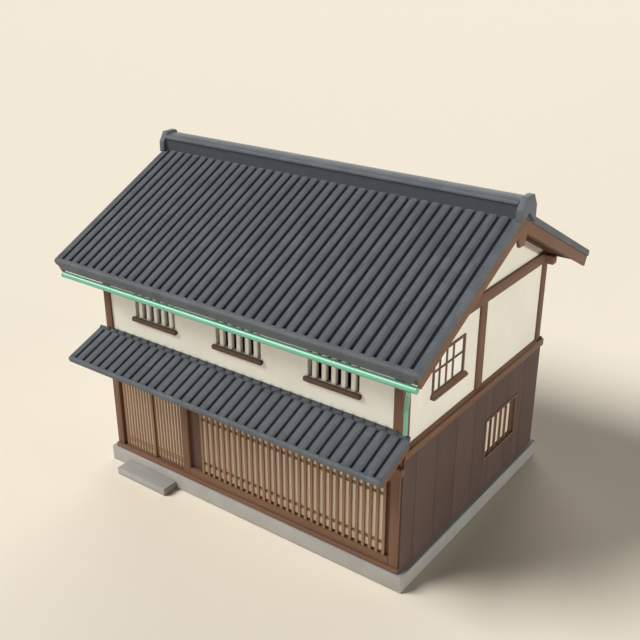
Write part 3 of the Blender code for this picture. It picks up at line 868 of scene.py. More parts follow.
@dataclass(frozen=True)
class Slope:
    """A roof slope: its fall, and the places and depths that are measured from it."""

    fall: float
    top: float
    eave: float

    @property
    def run(self) -> float:
        """How far a metre of slope runs on the level."""
        return 1.0 / math.hypot(1.0, self.fall)

    @property
    def rise(self) -> float:
        """How far a metre of slope falls."""
        return self.fall * self.run

    def height(self, y: float, drop: float = 0.0) -> float:
        """Height at a distance from the house's middle line, some way straight below the tiles."""
        return self.top - self.fall * y - drop

    def square(self, drop: float) -> float:
        """A depth measured straight down, turned into one square to the slope."""
        return drop * self.run

    def at(self, back: float, deep: float) -> Spot:
        """A place measured from the eave's top edge.

        Args:
            back: distance up the slope.
            deep: depth square to the slope.

        Returns:
            Distance from the house's middle line, and height.
        """
        return (self.eave - back * self.run - deep * self.rise,
                self.height(self.eave) + back * self.rise - deep * self.run)

    def sheet(self, start: float, back: float, upper: float, lower: float) -> list[Spot]:
        """Section of a board that lies along the slope.

        Args:
            start: distance of its upper end from the middle line.
            back: how far up from the eave it ends, cut square.
            upper: drop of its upper face.
            lower: drop of its lower face.

        Returns:
            Four corners.
        """
        return [(start, self.height(start, upper)), self.at(back, self.square(upper)),
                self.at(back, self.square(lower)), (start, self.height(start, lower))]


@dataclass
class TileField:
    """Ribs and channels of a tiled slope, with the rounded tiles of its eave."""

    name: str
    node: str
    slope: Slope
    pitch: float
    count: int
    sense: int
    start: float
    under: float
    face: float
    half: float
    band_half: float
    rounds: Spot = (0.05, 0.03)
    thick: float = 0.08
    channel: float = 0.075
    depth: float = 0.075
    channel_end: float = 0.115
    rib_steps: int = 10

    def _section(self) -> list[Spot]:
        """Ribs and channels across the slope.

        Returns:
            Pairs of an x and how deep the surface lies there, from 0 to 1.
        """
        points = [(-self.half, 0.0)]
        edge = self.channel / 2
        rib = self.pitch - self.channel
        for i in range(self.count):
            middle = (i - (self.count - 1) / 2) * self.pitch
            points += [(middle - edge, 0.22), (middle - edge + 0.007, 0.9), (middle - edge + 0.016, 1.0),
                       (middle + edge - 0.016, 1.0), (middle + edge - 0.007, 0.9), (middle + edge, 0.22)]
            if i < self.count - 1:
                for k in range(1, self.rib_steps):
                    part = k / self.rib_steps
                    seam = 0.10 * math.exp(-((part - 0.36) / 0.06) ** 2)
                    points.append((middle + edge + rib * part, 0.22 * abs(2.0 * part - 1.0) ** 2.6 + seam))
        points.append((self.half, 0.0))
        return points

    def _line(self) -> list[tuple[float, float, float, float]]:
        """Stations down the slope.

        Returns:
            How far back from the eave, how deep, and how far the channels are cut there.
        """
        length = (self.slope.eave - self.start) / self.slope.run
        rows = [(back, 0.0, 1.0) for back in spread(length, self.channel_end, 14)]
        rows.append((self.channel_end - 0.010, 0.0, 0.0))
        top = self.rounds[0]
        rows += [(back, deep, 0.0) for back, deep in arc((top, top), top, 270.0, 180.0, 6)]
        return rows

    def build(self) -> None:
        """Make the field, its underside and the band of its eave."""
        section = self._section()
        finish = ClayTile(f"clay_tile_{self.name}", self.pitch)
        below = self.slope.square(self.under)
        rows = []
        for back, deep, cut in self._line() + [(0.0, below, 0.0), (self.thick, below, 0.0)]:
            y, z = self.slope.at(back, deep)
            rows.append([(x, self.sense * y, z - self.depth * sunk * cut) for x, sunk in section])
        upper = self.slope.height(self.start, self.under)
        rows.append([(x, self.sense * self.start, upper) for x, _ in section])
        solid = Solid(f"{self.name}_tiles")
        solid.shell(rows + [rows[0]], finish.material())
        bmesh.ops.remove_doubles(solid.bm, verts=solid.bm.verts, dist=0.00005)
        bmesh.ops.holes_fill(solid.bm, edges=solid.bm.edges, sides=0)
        # floors and walls of the channels get painted shade
        self._shade_channels(solid, finish.channel_shade_material())
        foot = self.rounds[1]
        band = [(0.0, below + 0.0004), (self.thick, below + 0.0004), (self.thick, self.face)]
        band += arc((foot, self.face - foot), foot, 90.0, 180.0, 5)
        outline = mirrored((self.slope.at(back, deep) for back, deep in band), self.sense)
        solid.prism(outline, "yz", (-self.band_half, self.band_half), finish.material(), 0.0)
        solid.place(HOUSE, finish.slot, self.node, smooth=50.0)

    def _shade_channels(self, solid: Solid, finish: bpy.types.Material) -> None:
        """Give the floors and walls of the channels their painted shade."""
        index = solid.finish_index(finish)
        for face in solid.bm.faces:
            middle = face.calc_center_median()
            sunk = self.slope.height(abs(middle.y)) - middle.z
            inside = abs(middle.x) < self.half - 0.01 and abs(middle.y) < self.slope.eave - self.thick
            if inside and 0.35 * self.depth < sunk < 1.05 * self.depth:
                face.material_index = index


@dataclass
class MainRoof:
    """The gable roof: two tiled slopes, ridge, ridge ends, boards and rafters."""

    eave: float = 3.68
    fall: float = 0.5
    pitch: float = 0.24
    channels: int = 37
    tile_drop: float = 0.143
    eave_face: float = 0.28
    deck: Cut = (0.10, 0.146, 0.262)
    rafters: int = 37
    rafter: Cut = (0.14, 0.2625, 0.326)
    rafter_half: float = 0.03
    ridge_half: float = 0.215
    crown: Spot = (0.235, 0.10)
    lip: Spot = (0.032, 0.022)
    plate: Spot = (0.15, 0.225)
    board: Cut = (0.012, 0.1455, 0.40)

    def build(self) -> None:
        """Make the whole roof."""
        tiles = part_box("roof_tiles_front")[1]
        slope = Slope(self.fall, tiles.z, self.eave)
        inner = depths(*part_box("bargeboard_right"))[0]
        for name, sense in (("front", -1), ("back", 1)):
            TileField(name, f"roof_tiles_{name}", slope, self.pitch, self.channels, sense, 0.004,
                      self.tile_drop, self.eave_face, tiles.x - 0.002, inner - 0.01).build()
            self._build_rafters(name, sense, slope)
        self._build_ridge(slope.top)
        for side in Side:
            self._build_ridge_end(side, slope.top, tiles.x)
            self._build_bargeboard(side, slope)

    def _build_rafters(self, name: str, sense: int, slope: Slope) -> None:
        """Deck boards with a row of rafters under the eaves."""
        node = f"roof_deck_{name}"
        low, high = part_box(node)
        solid = Solid(f"{node}_boards")
        finish = FRAME_WOOD.material(Axis.Y)
        boards = mirrored(slope.sheet(0.05, *self.deck), sense)
        solid.prism(boards, "yz", (low.x, high.x), finish, 0.0)
        rafter = mirrored(slope.sheet(0.05, *self.rafter), sense)
        for x in spread(low.x + 0.05, high.x - 0.05, self.rafters):
            solid.prism(rafter, "yz", (x - self.rafter_half, x + self.rafter_half), finish, 0.004, 1)
        solid.place(HOUSE, FRAME_WOOD.slot, node)

    def _build_ridge(self, apex: float) -> None:
        """Ridge wall in painted shade, its projecting course and the round crown tiles."""
        low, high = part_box("ridge")
        span = (low.x, high.x)
        half = self.ridge_half
        radius, rise = self.crown
        out, thick = self.lip
        course = high.z - rise
        solid = Solid("ridge_tiles")
        wall = [(half, apex - self.fall * half - 0.06), (half, course)]
        # the ridge wall gets the darker painted shade
        shade = RIDGE_WALL_SHADE.channel_shade_material()
        solid.prism(wall + mirrored(reversed(wall)), "yz", span, shade, 0.004, 1)
        lip = [(half + out, course + 0.001), (half + out, course + thick)]
        solid.prism(lip + mirrored(reversed(lip)), "yz", span, RIDGE_CLAY.material(), 0.006, 2)
        foot = course + thick + 0.001
        turns = [math.radians(turn) for turn in spread(0.0, 180.0, 21)]
        crown = [(radius * math.cos(turn), foot + (high.z - foot) * math.sin(turn) ** 0.8) for turn in turns]
        rows = [[(x, y, z) for y, z in crown] for x in span]
        solid.shell(rows, RIDGE_CLAY.material(), close=True, caps=True)
        solid.place(HOUSE, RIDGE_CLAY.slot, "ridge", smooth=35.0)

    def _build_ridge_end(self, side: Side, apex: float, verge: float) -> None:
        """Block that closes the ridge over a gable, and its lap over the verge."""
        node = f"ridge_end_{side.label}"
        low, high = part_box(node)
        half = high.y
        rim = apex - self.fall * half
        finish = RIDGE_CLAY.material()
        solid = Solid(f"{node}_tile")
        edge = [(half, rim + 0.002), (half, high.z - self.plate[1]), (self.plate[0], high.z)]
        outline = [(0.0, apex + 0.002)] + edge + mirrored(reversed(edge))
        solid.prism(outline, "yz", (low.x, high.x), finish, 0.014, 3)
        lap = [(0.0, apex - 0.03), (half, rim - 0.135), (half, rim + 0.02), (0.0, apex + 0.02),
               (-half, rim + 0.02), (-half, rim - 0.02)]
        solid.prism(lap, "yz", side.span(verge + HAIR, depths(low, high)[1]), finish, 0.008, 2)
        solid.place(HOUSE, RIDGE_CLAY.slot, node)

    def _build_bargeboard(self, side: Side, slope: Slope) -> None:
        """Two sloping boards under the verge and the pendant at their meeting."""
        node = f"bargeboard_{side.label}"
        low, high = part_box(node)
        solid = Solid(f"{node}_timber")
        board = slope.sheet(0.001, *self.board)
        for sense in (-1, 1):
            solid.prism(mirrored(board, sense), "yz", (low.x, high.x), FRAME_WOOD.material(Axis.Y), 0.006)
        foot = slope.height(0.0, self.board[2])
        half = [(-0.18, foot + 0.10), (-0.18, foot - 0.10), (-0.105, foot - 0.30)]
        inner, outer = depths(low, high)
        solid.prism(half + mirrored(reversed(half)), "yz", side.span(inner, outer + 0.005),
                    FRAME_WOOD.material(Axis.Z), 0.008)
        solid.place(HOUSE, FRAME_WOOD.slot, node)


@dataclass
class LowerRoof:
    """The pent roof over the street front."""

    eave: float = 3.98
    fall: float = 0.4
    wall_top: float = 3.44
    pitch: float = 0.2416
    channels: int = 33
    tile_drop: float = 0.099
    eave_face: float = 0.13
    strip: Spot = (0.055, 0.030)
    bump: float = 0.052
    deck: Cut = (0.10, 0.1005, 0.15)
    verge: Cut = (0.066, 0.1005, 0.255)
    verge_width: float = 0.05
    rafters: int = 17
    rafter: Cut = (0.12, 0.1505, 0.19)
    rafter_half: float = 0.028

    def build(self) -> None:
        """Make its tiles, top strip and timber."""
        post = -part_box("corner_post_front_left")[0].y
        slope = Slope(self.fall, self.wall_top + self.fall * post, self.eave)
        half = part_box("lower_roof_tiles")[1].x - 0.002
        TileField("pent", "lower_roof_tiles", slope, self.pitch, self.channels, -1, post + 0.03,
                  self.tile_drop, self.eave_face, half, half, (0.04, 0.02), 0.06, 0.072,
                  0.062, 0.085).build()
        self._build_strip(slope, post)
        self._build_timber(slope, post)

    def _build_strip(self, slope: Slope, post: float) -> None:
        """Row of half-round tile ends against the wall, over the channels' heads, in darker clay that paints
        the shade along the wall.
        """
        low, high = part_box("lower_roof_tiles")
        finish = STRIP_SHADE_CLAY.material()
        solid = Solid("pent_top_strip")
        base = slope.height(post)
        foot = base - 0.06
        back = post + 0.001
        out, rise = self.strip
        section = [(-back, foot), (-back, base + rise), (-back - 0.03, base + rise - 0.004),
                   (-back - out, base - 0.010), (-back - out, foot)]
        solid.prism(section, "yz", (low.x + 0.002, high.x - 0.002), finish, 0.006, 2)
        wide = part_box("upper_wall_front")[1].x - 0.002
        solid.block((-wide, -back - 0.003, foot), (wide, high.y - 0.001, base + rise - 0.002), finish, 0.004)
        reach = (self.channels - 2) / 2 * self.pitch
        for x in spread(-reach, reach, self.channels - 1):
            bump = arc((x, base + 0.008), self.bump, 180.0, 0.0, 8)
            solid.prism(bump, "xz", (-back - 0.066, -back), finish, 0.004, 1)
        solid.place(HOUSE, STRIP_SHADE_CLAY.slot)

    def _build_timber(self, slope: Slope, post: float) -> None:
        """Deck, verge boards and the rafters that carry the pent roof."""
        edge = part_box("lower_roof_deck")[1].x
        solid = Solid("lower_roof_timber")
        finish = FRAME_WOOD.material(Axis.Y)

        def section(cut: Cut) -> list[Spot]:
            """Section of a board or rafter in front of the house."""
            return mirrored(slope.sheet(post + 0.001, *cut))

        inner = edge - self.verge_width
        solid.prism(section(self.deck), "yz", (-inner, inner), finish, 0.0)
        for side in Side:
            solid.prism(section(self.verge), "yz", side.span(inner, edge), finish, 0.006)
        for x in spread(-edge + 0.25, edge - 0.25, self.rafters):
            span = (x - self.rafter_half, x + self.rafter_half)
            solid.prism(section(self.rafter), "yz", span, finish, 0.004, 1)
        solid.place(HOUSE, FRAME_WOOD.slot, "lower_roof_deck")


@dataclass
class RainWater:
    """Round gutter with a beaded mouth along its top, and its downpipe."""

    wall: float = 0.010
    bead: float = 0.004
    cap: Spot = (0.004, 0.016)
    joints: int = 5
    joint_half: float = 0.02
    joint_inset: float = 0.4
    mouth: Spot = (82.0, 62.0)
    pipe: float = 0.042
    bend: Spot = (4.02, 4.63)
    sweep: float = 0.10
    bracket: float = 0.025

    def build(self) -> None:
        """Make the gutter and the pipe."""
        low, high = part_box("gutter")
        outer = (high.y - low.y) / 2
        centre = ((low.y + high.y) / 2, (low.z + high.z) / 2)
        inner = outer - self.wall
        finish = COPPER.material()
        solid = Solid("gutter_copper")
        first, last = self.mouth
        outside = arc(centre, outer, first, last + 360.0, 36)
        inside = arc(centre, inner, last + 360.0, first, 36)
        solid.prism(outside + inside, "yz", (low.x, high.x), finish, 0.0)

        def sleeve(start: float, end: float, proud: float) -> None:
            """A short ring around the gutter."""
            solid.tube([(start, *centre), (end, *centre)], outer + proud, finish, 32)

        out, back = self.cap
        sleeve(low.x - out, low.x + back, 0.005)
        sleeve(high.x - back, high.x + out, 0.005)
        for x in spread(low.x + self.joint_inset, high.x - self.joint_inset, self.joints):
            sleeve(x - self.joint_half, x + self.joint_half, 0.0015)
        for turn in self.mouth:
            lip = arc(centre, outer, turn, turn, 1)[0]
            solid.tube([(low.x, *lip), (high.x, *lip)], self.bead, finish, 10)
        solid.place(HOUSE, COPPER.slot, "gutter")
        self._build_pipe(finish, centre[0])

    def _build_pipe(self, finish: bpy.types.Material, gutter_y: float) -> None:
        """Downpipe up the corner post, with a swan neck out to the gutter."""
        low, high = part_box("downpipe")
        radius = self.pipe
        x0, x1 = low.x + radius, high.x - radius
        y0 = high.y - radius
        lower, upper = self.bend
        knots = [Vector((x0, y0, low.z)), Vector((x0, y0, lower)), Vector((x1, gutter_y, upper)),
                 Vector((x1, gutter_y, high.z + 0.003))]
        route = [tuple(knots[0])]
        for before, knot, after in zip(knots, knots[1:], knots[2:]):
            into = knot.lerp(before, min(self.sweep / (before - knot).length, 0.45))
            away = knot.lerp(after, min(self.sweep / (after - knot).length, 0.45))
            route += [tuple(into.lerp(knot, t).lerp(knot.lerp(away, t), t)) for t in spread(0.0, 1.0, 8)]
        route.append(tuple(knots[-1]))
        solid = Solid("downpipe_copper")
        solid.tube(route, radius, finish, 24)
        wall = -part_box("corner_post_front_right")[0].y + 0.002
        for z in (low.z + 0.02, lower - 0.12):
            solid.tube([(x0, y0, z), (x0, y0, z + self.bracket)], radius + 0.004, finish, 24)
            solid.block((x0 - 0.012, y0, z), (x0 + 0.012, -wall, z + self.bracket), finish, 0.003, 1)
        solid.place(HOUSE, COPPER.slot, "downpipe", smooth=50.0)


# ---------------------------------------------------------------- the walls


@dataclass
class FrontPlaster:
    """The upper front wall: plaster with three openings of plaster bars."""

    bars: int = 5
    bar: float = 0.100
    width: float = 1.17
    top: float = 4.75
    centres: tuple[float, ...] = (-2.307, 0.0, 2.307)

    def build(self) -> None:
        """Make the wall around its openings, the bars and the sills."""
        low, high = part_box("upper_wall_front")
        bottom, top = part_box("front_window_sill_middle")[1].z - 0.02, self.top
        finish = PLASTER.material()
        wall = Solid("upper_wall_front_plaster")
        edges = [low.x] + [c + s * self.width / 2 for c in self.centres for s in (-1, 1)] + [high.x]
        wall.block((low.x, low.y, low.z), (high.x, high.y, bottom), finish, 0.0)
        wall.block((low.x, low.y, top), (high.x, high.y, high.z), finish, 0.0)
        for i in range(0, len(edges), 2):
            wall.block((edges[i], low.y, bottom), (edges[i + 1], high.y, top), finish, 0.0)
        bars = Solid("window_bars_plaster")
        pitch = (self.width - 0.02) / self.bars * 0.96
        reach, half = (self.bars - 1) / 2 * pitch, self.bar / 2
        for centre in self.centres:
            for x in spread(centre - reach, centre + reach, self.bars):
                bars.block((x - half, low.y + 0.006, bottom), (x + half, low.y + 0.105, top), finish,
                           0.016, 3)
        wall.place(HOUSE, PLASTER.slot, "upper_wall_front")
        bars.place(HOUSE, PLASTER.slot)
        for name in ("left", "middle", "right"):
            self._build_sill(f"front_window_sill_{name}")

    @staticmethod
    def _build_sill(node: str) -> None:
        """Round-ended timber sill under an opening."""
        low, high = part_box(node)
        solid = Solid(f"{node}_timber")
        solid.block(low, high, DARK_WOOD.material(Axis.X), 0.030, 4)
        solid.place(HOUSE, DARK_WOOD.slot, node)


@dataclass
class Siding:
    """Upright boards of the lower storey, with shadow joints."""

    board: float = 0.782
    gap: float = 0.010
    depth: float = 0.012

    def _boards(self, start: float, end: float, middle: float) -> list[Spot]:
        """Where the boards start and end along a wall.

        Args:
            start: one end of the wall.
            end: its other end.
            middle: where one joint lies.

        Returns:
            Start and end of each board.
        """
        first = math.floor((start - middle) / self.board)
        last = math.ceil((end - middle) / self.board)
        edges = [middle + k * self.board for k in range(first, last + 1)]
        cuts = [start] + [e for e in edges if start + 0.1 < e < end - 0.06] + [end]
        return [(a + self.gap / 2, b - self.gap / 2) for a, b in zip(cuts, cuts[1:])]

    def build(self) -> None:
        """Board the two sides and the back."""
        for side in Side:
            self._build_side(side)
        self._build_back()

    def _build_side(self, side: Side) -> None:
        """Boards of one gable side, cut around its window."""
        node = f"siding_wall_{side.label}"
        low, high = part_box(node)
        inner, face = depths(low, high)
        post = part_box("corner_post_front_right")[1]
        finish = BOARDS.material()
        solid = Solid(f"{node}_boards")
        (_, y0, z0), (_, y1, z1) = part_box(f"lower_window_{side.label}")

        def panel(start: float, end: float, foot: float, head: float, depth: Spot, ease: float) -> None:
            """One upright slab between two depths."""
            first, last = side.span(*depth)
            if end - start > 0.004 and head - foot > 0.004:
                solid.block((first, start, foot), (last, end, head), finish, ease, 2)

        core = face - self.depth
        edge = abs(post.y) - HAIR
        for start, end, depth in ((-edge, edge, (inner, post.x)), (low.y, high.y, (post.x + 0.0008, core))):
            panel(start, y0, low.z, high.z, depth, 0.0)
            panel(y1, end, low.z, high.z, depth, 0.0)
            panel(y0, y1, low.z, z0, depth, 0.0)
            panel(y0, y1, z1, high.z, depth, 0.0)
        skin = (core - 0.001, face)
        for a, b in self._boards(low.y, high.y, -0.105):
            beside = a < y1 and b > y0
            for start, end in [(a, min(b, y0)), (max(a, y1), b)] if beside else [(a, b)]:
                panel(start, end, low.z, high.z, skin, 0.003)
            if beside:
                start, end = max(a, y0), min(b, y1)
                panel(start, end, low.z, z0, skin, 0.003)
                panel(start, end, z1, high.z, skin, 0.003)
        solid.place(HOUSE, BOARDS.slot, node)

    def _build_back(self) -> None:
        """Boards of the back wall."""
        low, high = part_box("siding_wall_back")
        post_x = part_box("corner_post_back_right")[0].x - HAIR
        post_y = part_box("corner_post_back_right")[1].y
        finish = BOARDS.material()
        solid = Solid("siding_wall_back_boards")
        core = high.y - self.depth
        solid.block((-post_x, low.y, low.z), (post_x, post_y, high.z), finish, 0.0)
        solid.block((low.x, post_y + 0.0008, low.z), (high.x, core, high.z), finish, 0.0)
        for a, b in self._boards(low.x, high.x, 0.0):
            solid.block((a, core - 0.001, low.z), (b, high.y, high.z), finish, 0.003)
        solid.place(HOUSE, BOARDS.slot, "siding_wall_back")


@dataclass
class SideWindows:
    """Framed windows of the two gable sides, with their bars and panes."""

    rim: float = 0.062
    lining: float = 0.105
    # shade: width at the back end of each lower window filled by a dark board, a painted shadow in the
    # opening
    shade: float = 0.19
    bar: float = 0.040
    upper_rim: float = 0.048
    upper_bar: float = 0.032
    upper_bars: tuple[float, ...] = (0.21, 0.43, 0.65)
    cross_bar: float = 0.56
    sill_wedge: Spot = (0.012, 0.035)

    def build(self) -> None:
        """Make the lower and upper window of each side."""
        for side in Side:
            self._build_lower(side)
            self._build_upper(side)

    def _ring(self, solid: Solid, side: Side, depth: Spot, low: Spot,
              high: Spot, wide: float, finish: Timber, ease: float) -> None:
        """Four timbers around an opening."""
        x0, x1 = side.span(*depth)
        upright, level = finish.material(Axis.Z), finish.material(Axis.Y)
        (y0, z0), (y1, z1) = low, high
        solid.block((x0, y0, z0), (x1, y1, z0 + wide), level, ease)
        solid.block((x0, y0, z1 - wide), (x1, y1, z1), level, ease)
        solid.block((x0, y0, z0 + wide), (x1, y0 + wide, z1 - wide), upright, ease)
        solid.block((x0, y1 - wide, z0 + wide), (x1, y1, z1 - wide), upright, ease)

    def _bars(self, solid: Solid, side: Side, depth: Spot, places: Iterable[float],
              heights: Spot, width: float, finish: Timber) -> None:
        """Upright bars of one width at places along a window."""
        x0, x1 = side.span(*depth)
        for y in places:
            solid.block((x0, y - width / 2, heights[0]), (x1, y + width / 2, heights[1]),
                        finish.material(Axis.Z), 0.004)

    def _build_lower(self, side: Side) -> None:
        """Barred window of the boarded storey. A dark board at its back end is a painted shadow."""
        node = f"lower_window_{side.label}"
        low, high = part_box(node)
        back, face = depths(low, high)
        solid = Solid(f"{node}_timber")
        rim, lining = self.rim, self.lining
        self._ring(solid, side, (back, face), (low.y, low.z), (high.y, high.z), rim, FRAME_WOOD, 0.008)
        self._ring(solid, side, (back + 0.012, face - 0.05), (low.y + rim, low.z + rim),
                   (high.y - rim, high.z - rim), lining - rim, DARK_WOOD, 0.005)
        # dark board from the last gap to the lining: painted shadow inside the opening
        shade = high.y - self.shade
        self._bars(solid, side, (back + 0.012, face - 0.055), [(shade + high.y - lining) / 2],
                   (low.z + lining, high.z - lining), high.y - lining - shade, DARK_WOOD)
        self._bars(solid, side, (back + 0.05, face - 0.035), spread(low.y + lining, shade, 6)[1:-1],
                   (low.z + rim, high.z - rim), self.bar, FRAME_WOOD)
        solid.place(HOUSE, FRAME_WOOD.slot, node)
        pane = Solid(f"{node}_pane")
        x0, x1 = side.span(back, face - 0.085)
        pane.block((x0, low.y + rim, low.z + rim), (x1, high.y - rim, high.z - rim), PAPER.material(),
                   0.002, 1)
        pane.place(HOUSE, PAPER.slot)

    def _build_upper(self, side: Side) -> None:
        """Screened window of the plastered storey, with its sill."""
        node = f"upper_window_{side.label}"
        low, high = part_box(node)
        back, face = depths(low, high)
        solid = Solid(f"{node}_timber")
        rim = self.upper_rim
        self._ring(solid, side, (back, face), (low.y, low.z), (high.y, high.z), rim, WINDOW_WOOD, 0.006)
        depth = (face - 0.040, face - 0.012)
        wide = high.y - low.y - rim
        self._bars(solid, side, depth, [low.y + rim / 2 + wide * part for part in self.upper_bars],
                   (low.z + rim - 0.005, high.z - rim + 0.005), self.upper_bar, WINDOW_WOOD)
        z = low.z + (high.z - low.z) * self.cross_bar
        half = self.upper_bar / 2
        x0, x1 = side.span(depth[0] + 0.002, depth[1] - 0.002)
        solid.block((x0, low.y + rim, z - half), (x1, high.y - rim, z + half),
                    WINDOW_WOOD.material(Axis.Y), 0.004)
        solid.place(HOUSE, WINDOW_WOOD.slot, node)
        pane = Solid(f"{node}_pane")
        x0, x1 = side.span(back, face - 0.042)
        lap = rim - 0.01
        pane.block((x0, low.y + lap, low.z + lap), (x1, high.y - lap, high.z - lap),
                   SCREEN_PAPER.material(), 0.002, 1)
        pane.place(HOUSE, PAPER.slot)
        sill = f"upper_window_sill_{side.label}"
        low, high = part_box(sill)
        ledge = Solid(f"{sill}_timber")
        ledge.block(low, high, WINDOW_WOOD.material(Axis.Y), 0.014, 1)
        ledge.place(HOUSE, WINDOW_WOOD.slot, sill)
        # sloping wedge on the sill in lighter slat wood: painted light over the shaded corner under the
        # window
        inset, rise = self.sill_wedge
        top, start, end = high.z + HAIR, face + HAIR, depths(low, high)[1] - inset
        wedge = [(start, top), (end, top), (start, top + rise)]
        slope = Solid(f"{sill}_slope")
        slope.prism(mirrored(wedge, side.value), "xz", (low.y + 0.015, high.y - 0.015),
                    SLAT_WOOD.material(Axis.Y), 0.0)
        slope.place(HOUSE, SLAT_WOOD.slot)


# ---------------------------------------------------------------- the front


@dataclass
class DoorLeaf:
    """A sliding lattice leaf: stiles, rails, slender slats and paper behind."""

    node: str
    body: str
    stile: float = 0.085
    slat: float = 0.051
    slats: int = 8
    rail: float = 0.036
    rail_feet: Spot = (0.145, 0.215)
    foot_rail: float = 0.025
    head_rail: float = 0.07

    def build(self) -> None:
        """Make the leaf around its frame node's box."""
        low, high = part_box(self.node)
        front, back = low.y, high.y
        foot, head = low.z + self.foot_rail, high.z - self.head_rail
        solid = Solid(f"{self.node}_lattice")
        upright, level = SLAT_WOOD.material(Axis.Z), SLAT_WOOD.material(Axis.X)
        for x0, x1 in ((low.x, low.x + self.stile), (high.x - self.stile, high.x)):
            solid.block((x0, front, low.z), (x1, back, high.z), upright, 0.005)
        left, right = low.x + self.stile, high.x - self.stile
        rails = [(low.z + rise, low.z + rise + self.rail) for rise in self.rail_feet]
        for z0, z1 in [(low.z, foot), (head, high.z)] + rails:
            solid.block((left, front + 0.006, z0), (right, back - 0.004, z1), level, 0.004)
        gap = (right - left - self.slats * self.slat) / (self.slats + 1)
        half = self.slat / 2
        for x in spread(left + gap + half, right - gap - half, self.slats):
            solid.block((x - half, front + 0.001, foot), (x + half, back - 0.014, head), upright, 0.004)
        solid.place(self.body, SLAT_WOOD.slot, self.node)
        paper = Solid(f"{self.node}_paper")
        paper.block((left - 0.01, back - 0.0135, foot - 0.01), (right + 0.01, back - 0.0035, head + 0.01),
                    PAPER.material(), 0.0)
        paper.place(self.body, PAPER.slot)


@dataclass
class StreetFront:
    """Door leaves, boards beside them and the long lattice of the lower front."""

    slats: int = 31
    slat: float = 0.066
    slat_depth: float = 0.036
    rail_depth: float = 0.064
    rails: tuple[Spot, ...] = ((0.875, 0.925), (1.975, 2.025))

    def build(self) -> None:
        """Make the whole lower front."""
        DoorLeaf("door_leaf_left", LEFT_LEAF).build()
        DoorLeaf("door_leaf_right", RIGHT_LEAF).build()
        for name in ("side_board_left", "side_board_right"):
            low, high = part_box(name)
            solid = Solid(f"{name}_plank")
            solid.block(low, high, DARK_WOOD.material(Axis.Z), 0.004)
            solid.place(HOUSE, BOARDS.slot, name)
        self._build_lattice()
        self._build_screen()

    def _build_lattice(self) -> None:
        """Upright slats nailed over two rails."""
        low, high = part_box("front_lattice")
        solid = Solid("front_lattice_slats")
        upright, level = SLAT_WOOD.material(Axis.Z), SLAT_WOOD.material(Axis.X)
        half, behind = self.slat / 2, low.y + self.slat_depth
        for x in spread(low.x + half, high.x - half, self.slats):
            solid.block((x - half, low.y, low.z), (x + half, behind, high.z), upright, 0.006)
        for z0, z1 in self.rails:
            solid.block((low.x, behind + HAIR, z0), (high.x, low.y + self.rail_depth, z1), level, 0.004)
        solid.place(HOUSE, SLAT_WOOD.slot, "front_lattice")

    @staticmethod
    def _build_screen() -> None:
        """Paper screens in their frames behind the lattice."""
        low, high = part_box("front_screen")
        solid = Solid("front_screen_paper")
        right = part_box("front_lattice")[1].x - 0.03
        solid.block((low.x, low.y + 0.001, low.z + 0.025), (right, high.y, high.z), PAPER.material(), 0.0)
        solid.place(HOUSE, PAPER.slot, "front_screen")
        rail = Solid("front_screen_rail")
        rail.block((low.x, low.y + 0.004, low.z), (high.x, high.y, low.z + 0.024),
                   DARK_WOOD.material(Axis.X), 0.003)
        rail.block((right + 0.001, low.y + 0.004, low.z + 0.025), (high.x, high.y, high.z),
                   DARK_WOOD.material(Axis.Z), 0.003)
        rail.place(HOUSE, DARK_WOOD.slot)


# ---------------------------------------------------------------- the studio


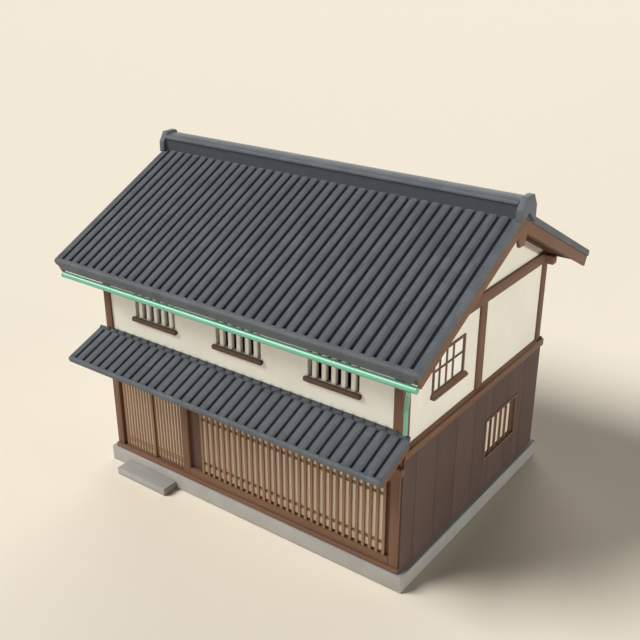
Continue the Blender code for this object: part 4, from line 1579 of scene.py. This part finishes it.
@dataclass
class Studio:
    """Pale floor, soft lights and the camera."""

    eye: Point = (10.849, -14.963, 11.886)
    yaw: float = 36.31
    pitch: float = 24.233
    lens: float = 51.04

    def build(self) -> None:
        """Make the stage."""
        self._build_floor()
        self._build_lights()
        self._build_camera()

    @staticmethod
    def _build_floor() -> None:
        """One wide floor."""
        mesh = bpy.data.meshes.new("studio_floor")
        bm = bmesh.new()
        bmesh.ops.create_grid(bm, x_segments=1, y_segments=1, size=160.0)
        bm.to_mesh(mesh)
        bm.free()
        shader = Shader("studio_floor")
        grain = shader.noise(shader.place(), 2.0, 2.0)
        colour = shader.mix(grain, (0.875, 0.795, 0.655), (0.885, 0.805, 0.665))
        mesh.materials.append(shader.finish(colour, 0.95, Specular_IOR_Level=0.1))
        floor = bpy.data.objects.new("studio_floor", mesh)
        bpy.context.scene.collection.objects.link(floor)
        floor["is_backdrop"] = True

    @staticmethod
    def _light(name: str, bearing: float, height: float, spread_by: float, power: float) -> None:
        """One very wide, distant soft light.

        Args:
            name: name of the light.
            bearing: where it stands, in degrees from +X towards +Y.
            height: how high it stands, in degrees.
            spread_by: how wide it looks, in degrees.
            power: how brightly it lights a wall that faces it.
        """
        data = bpy.data.lights.new(name, "SUN")
        data.energy = power * math.pi
        data.angle = math.radians(spread_by)
        lamp = bpy.data.objects.new(name, data)
        turn, lift = math.radians(bearing), math.radians(height)
        towards = Vector((math.cos(turn) * math.cos(lift), math.sin(turn) * math.cos(lift), math.sin(lift)))
        lamp.rotation_euler = (-towards).to_track_quat("-Z", "Y").to_euler()
        bpy.context.scene.collection.objects.link(lamp)

    def _build_lights(self) -> None:
        """Key from the front left, two low back lights, two low fills and a weak sky."""
        self._light("key", 218.0, 44.0, 32.0, 1.10)
        self._light("back", 120.0, 10.0, 60.0, 0.72)
        self._light("behind", 90.0, 10.0, 60.0, 0.18)
        self._light("fill", 8.0, 2.5, 4.5, 0.53)
        self._light("front", -82.0, 2.5, 4.5, 0.24)
        world = bpy.data.worlds.new("studio")
        bpy.context.scene.world = world
        world.use_nodes = True
        sky = world.node_tree.nodes["Background"]
        sky.inputs["Color"].default_value = (1.0, 0.98, 0.95, 1.0)
        sky.inputs["Strength"].default_value = 0.01

    def _build_camera(self) -> None:
        """Camera that looks down on the street corner of the house."""
        data = bpy.data.cameras.new("camera")
        data.lens = self.lens
        data.sensor_width = 36.0
        data.clip_end = 400.0
        camera = bpy.data.objects.new("camera", data)
        camera.location = self.eye
        camera.rotation_euler = (math.radians(90.0 - self.pitch), 0.0, math.radians(self.yaw))
        bpy.context.scene.collection.objects.link(camera)
        bpy.context.scene.camera = camera
        bpy.context.scene.view_settings.view_transform = "Standard"


def dress_plain_walls(frame: dict) -> None:
    """Finish the plaster walls whose frame shapes are already right."""
    for node in ("gable_wall_left", "gable_wall_right", "upper_wall_back"):
        dress(node, PLASTER.material(), frame)


def main() -> tuple[list, list]:
    """Build the looks of the house around its frame.

    Returns:
        The frame's box and the box of the finished looks.
    """
    logging.basicConfig(level=logging.INFO, format="%(message)s")
    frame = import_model()
    frame_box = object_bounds()
    Studio().build()
    Ground().build(frame)
    TimberFrame().build()
    dress_plain_walls(frame)
    FrontPlaster().build()
    Siding().build()
    SideWindows().build()
    StreetFront().build()
    MainRoof().build()
    LowerRoof().build()
    RainWater().build()
    return frame_box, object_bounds()


if __name__ == "__main__":
    cad_box, looks_box = main()
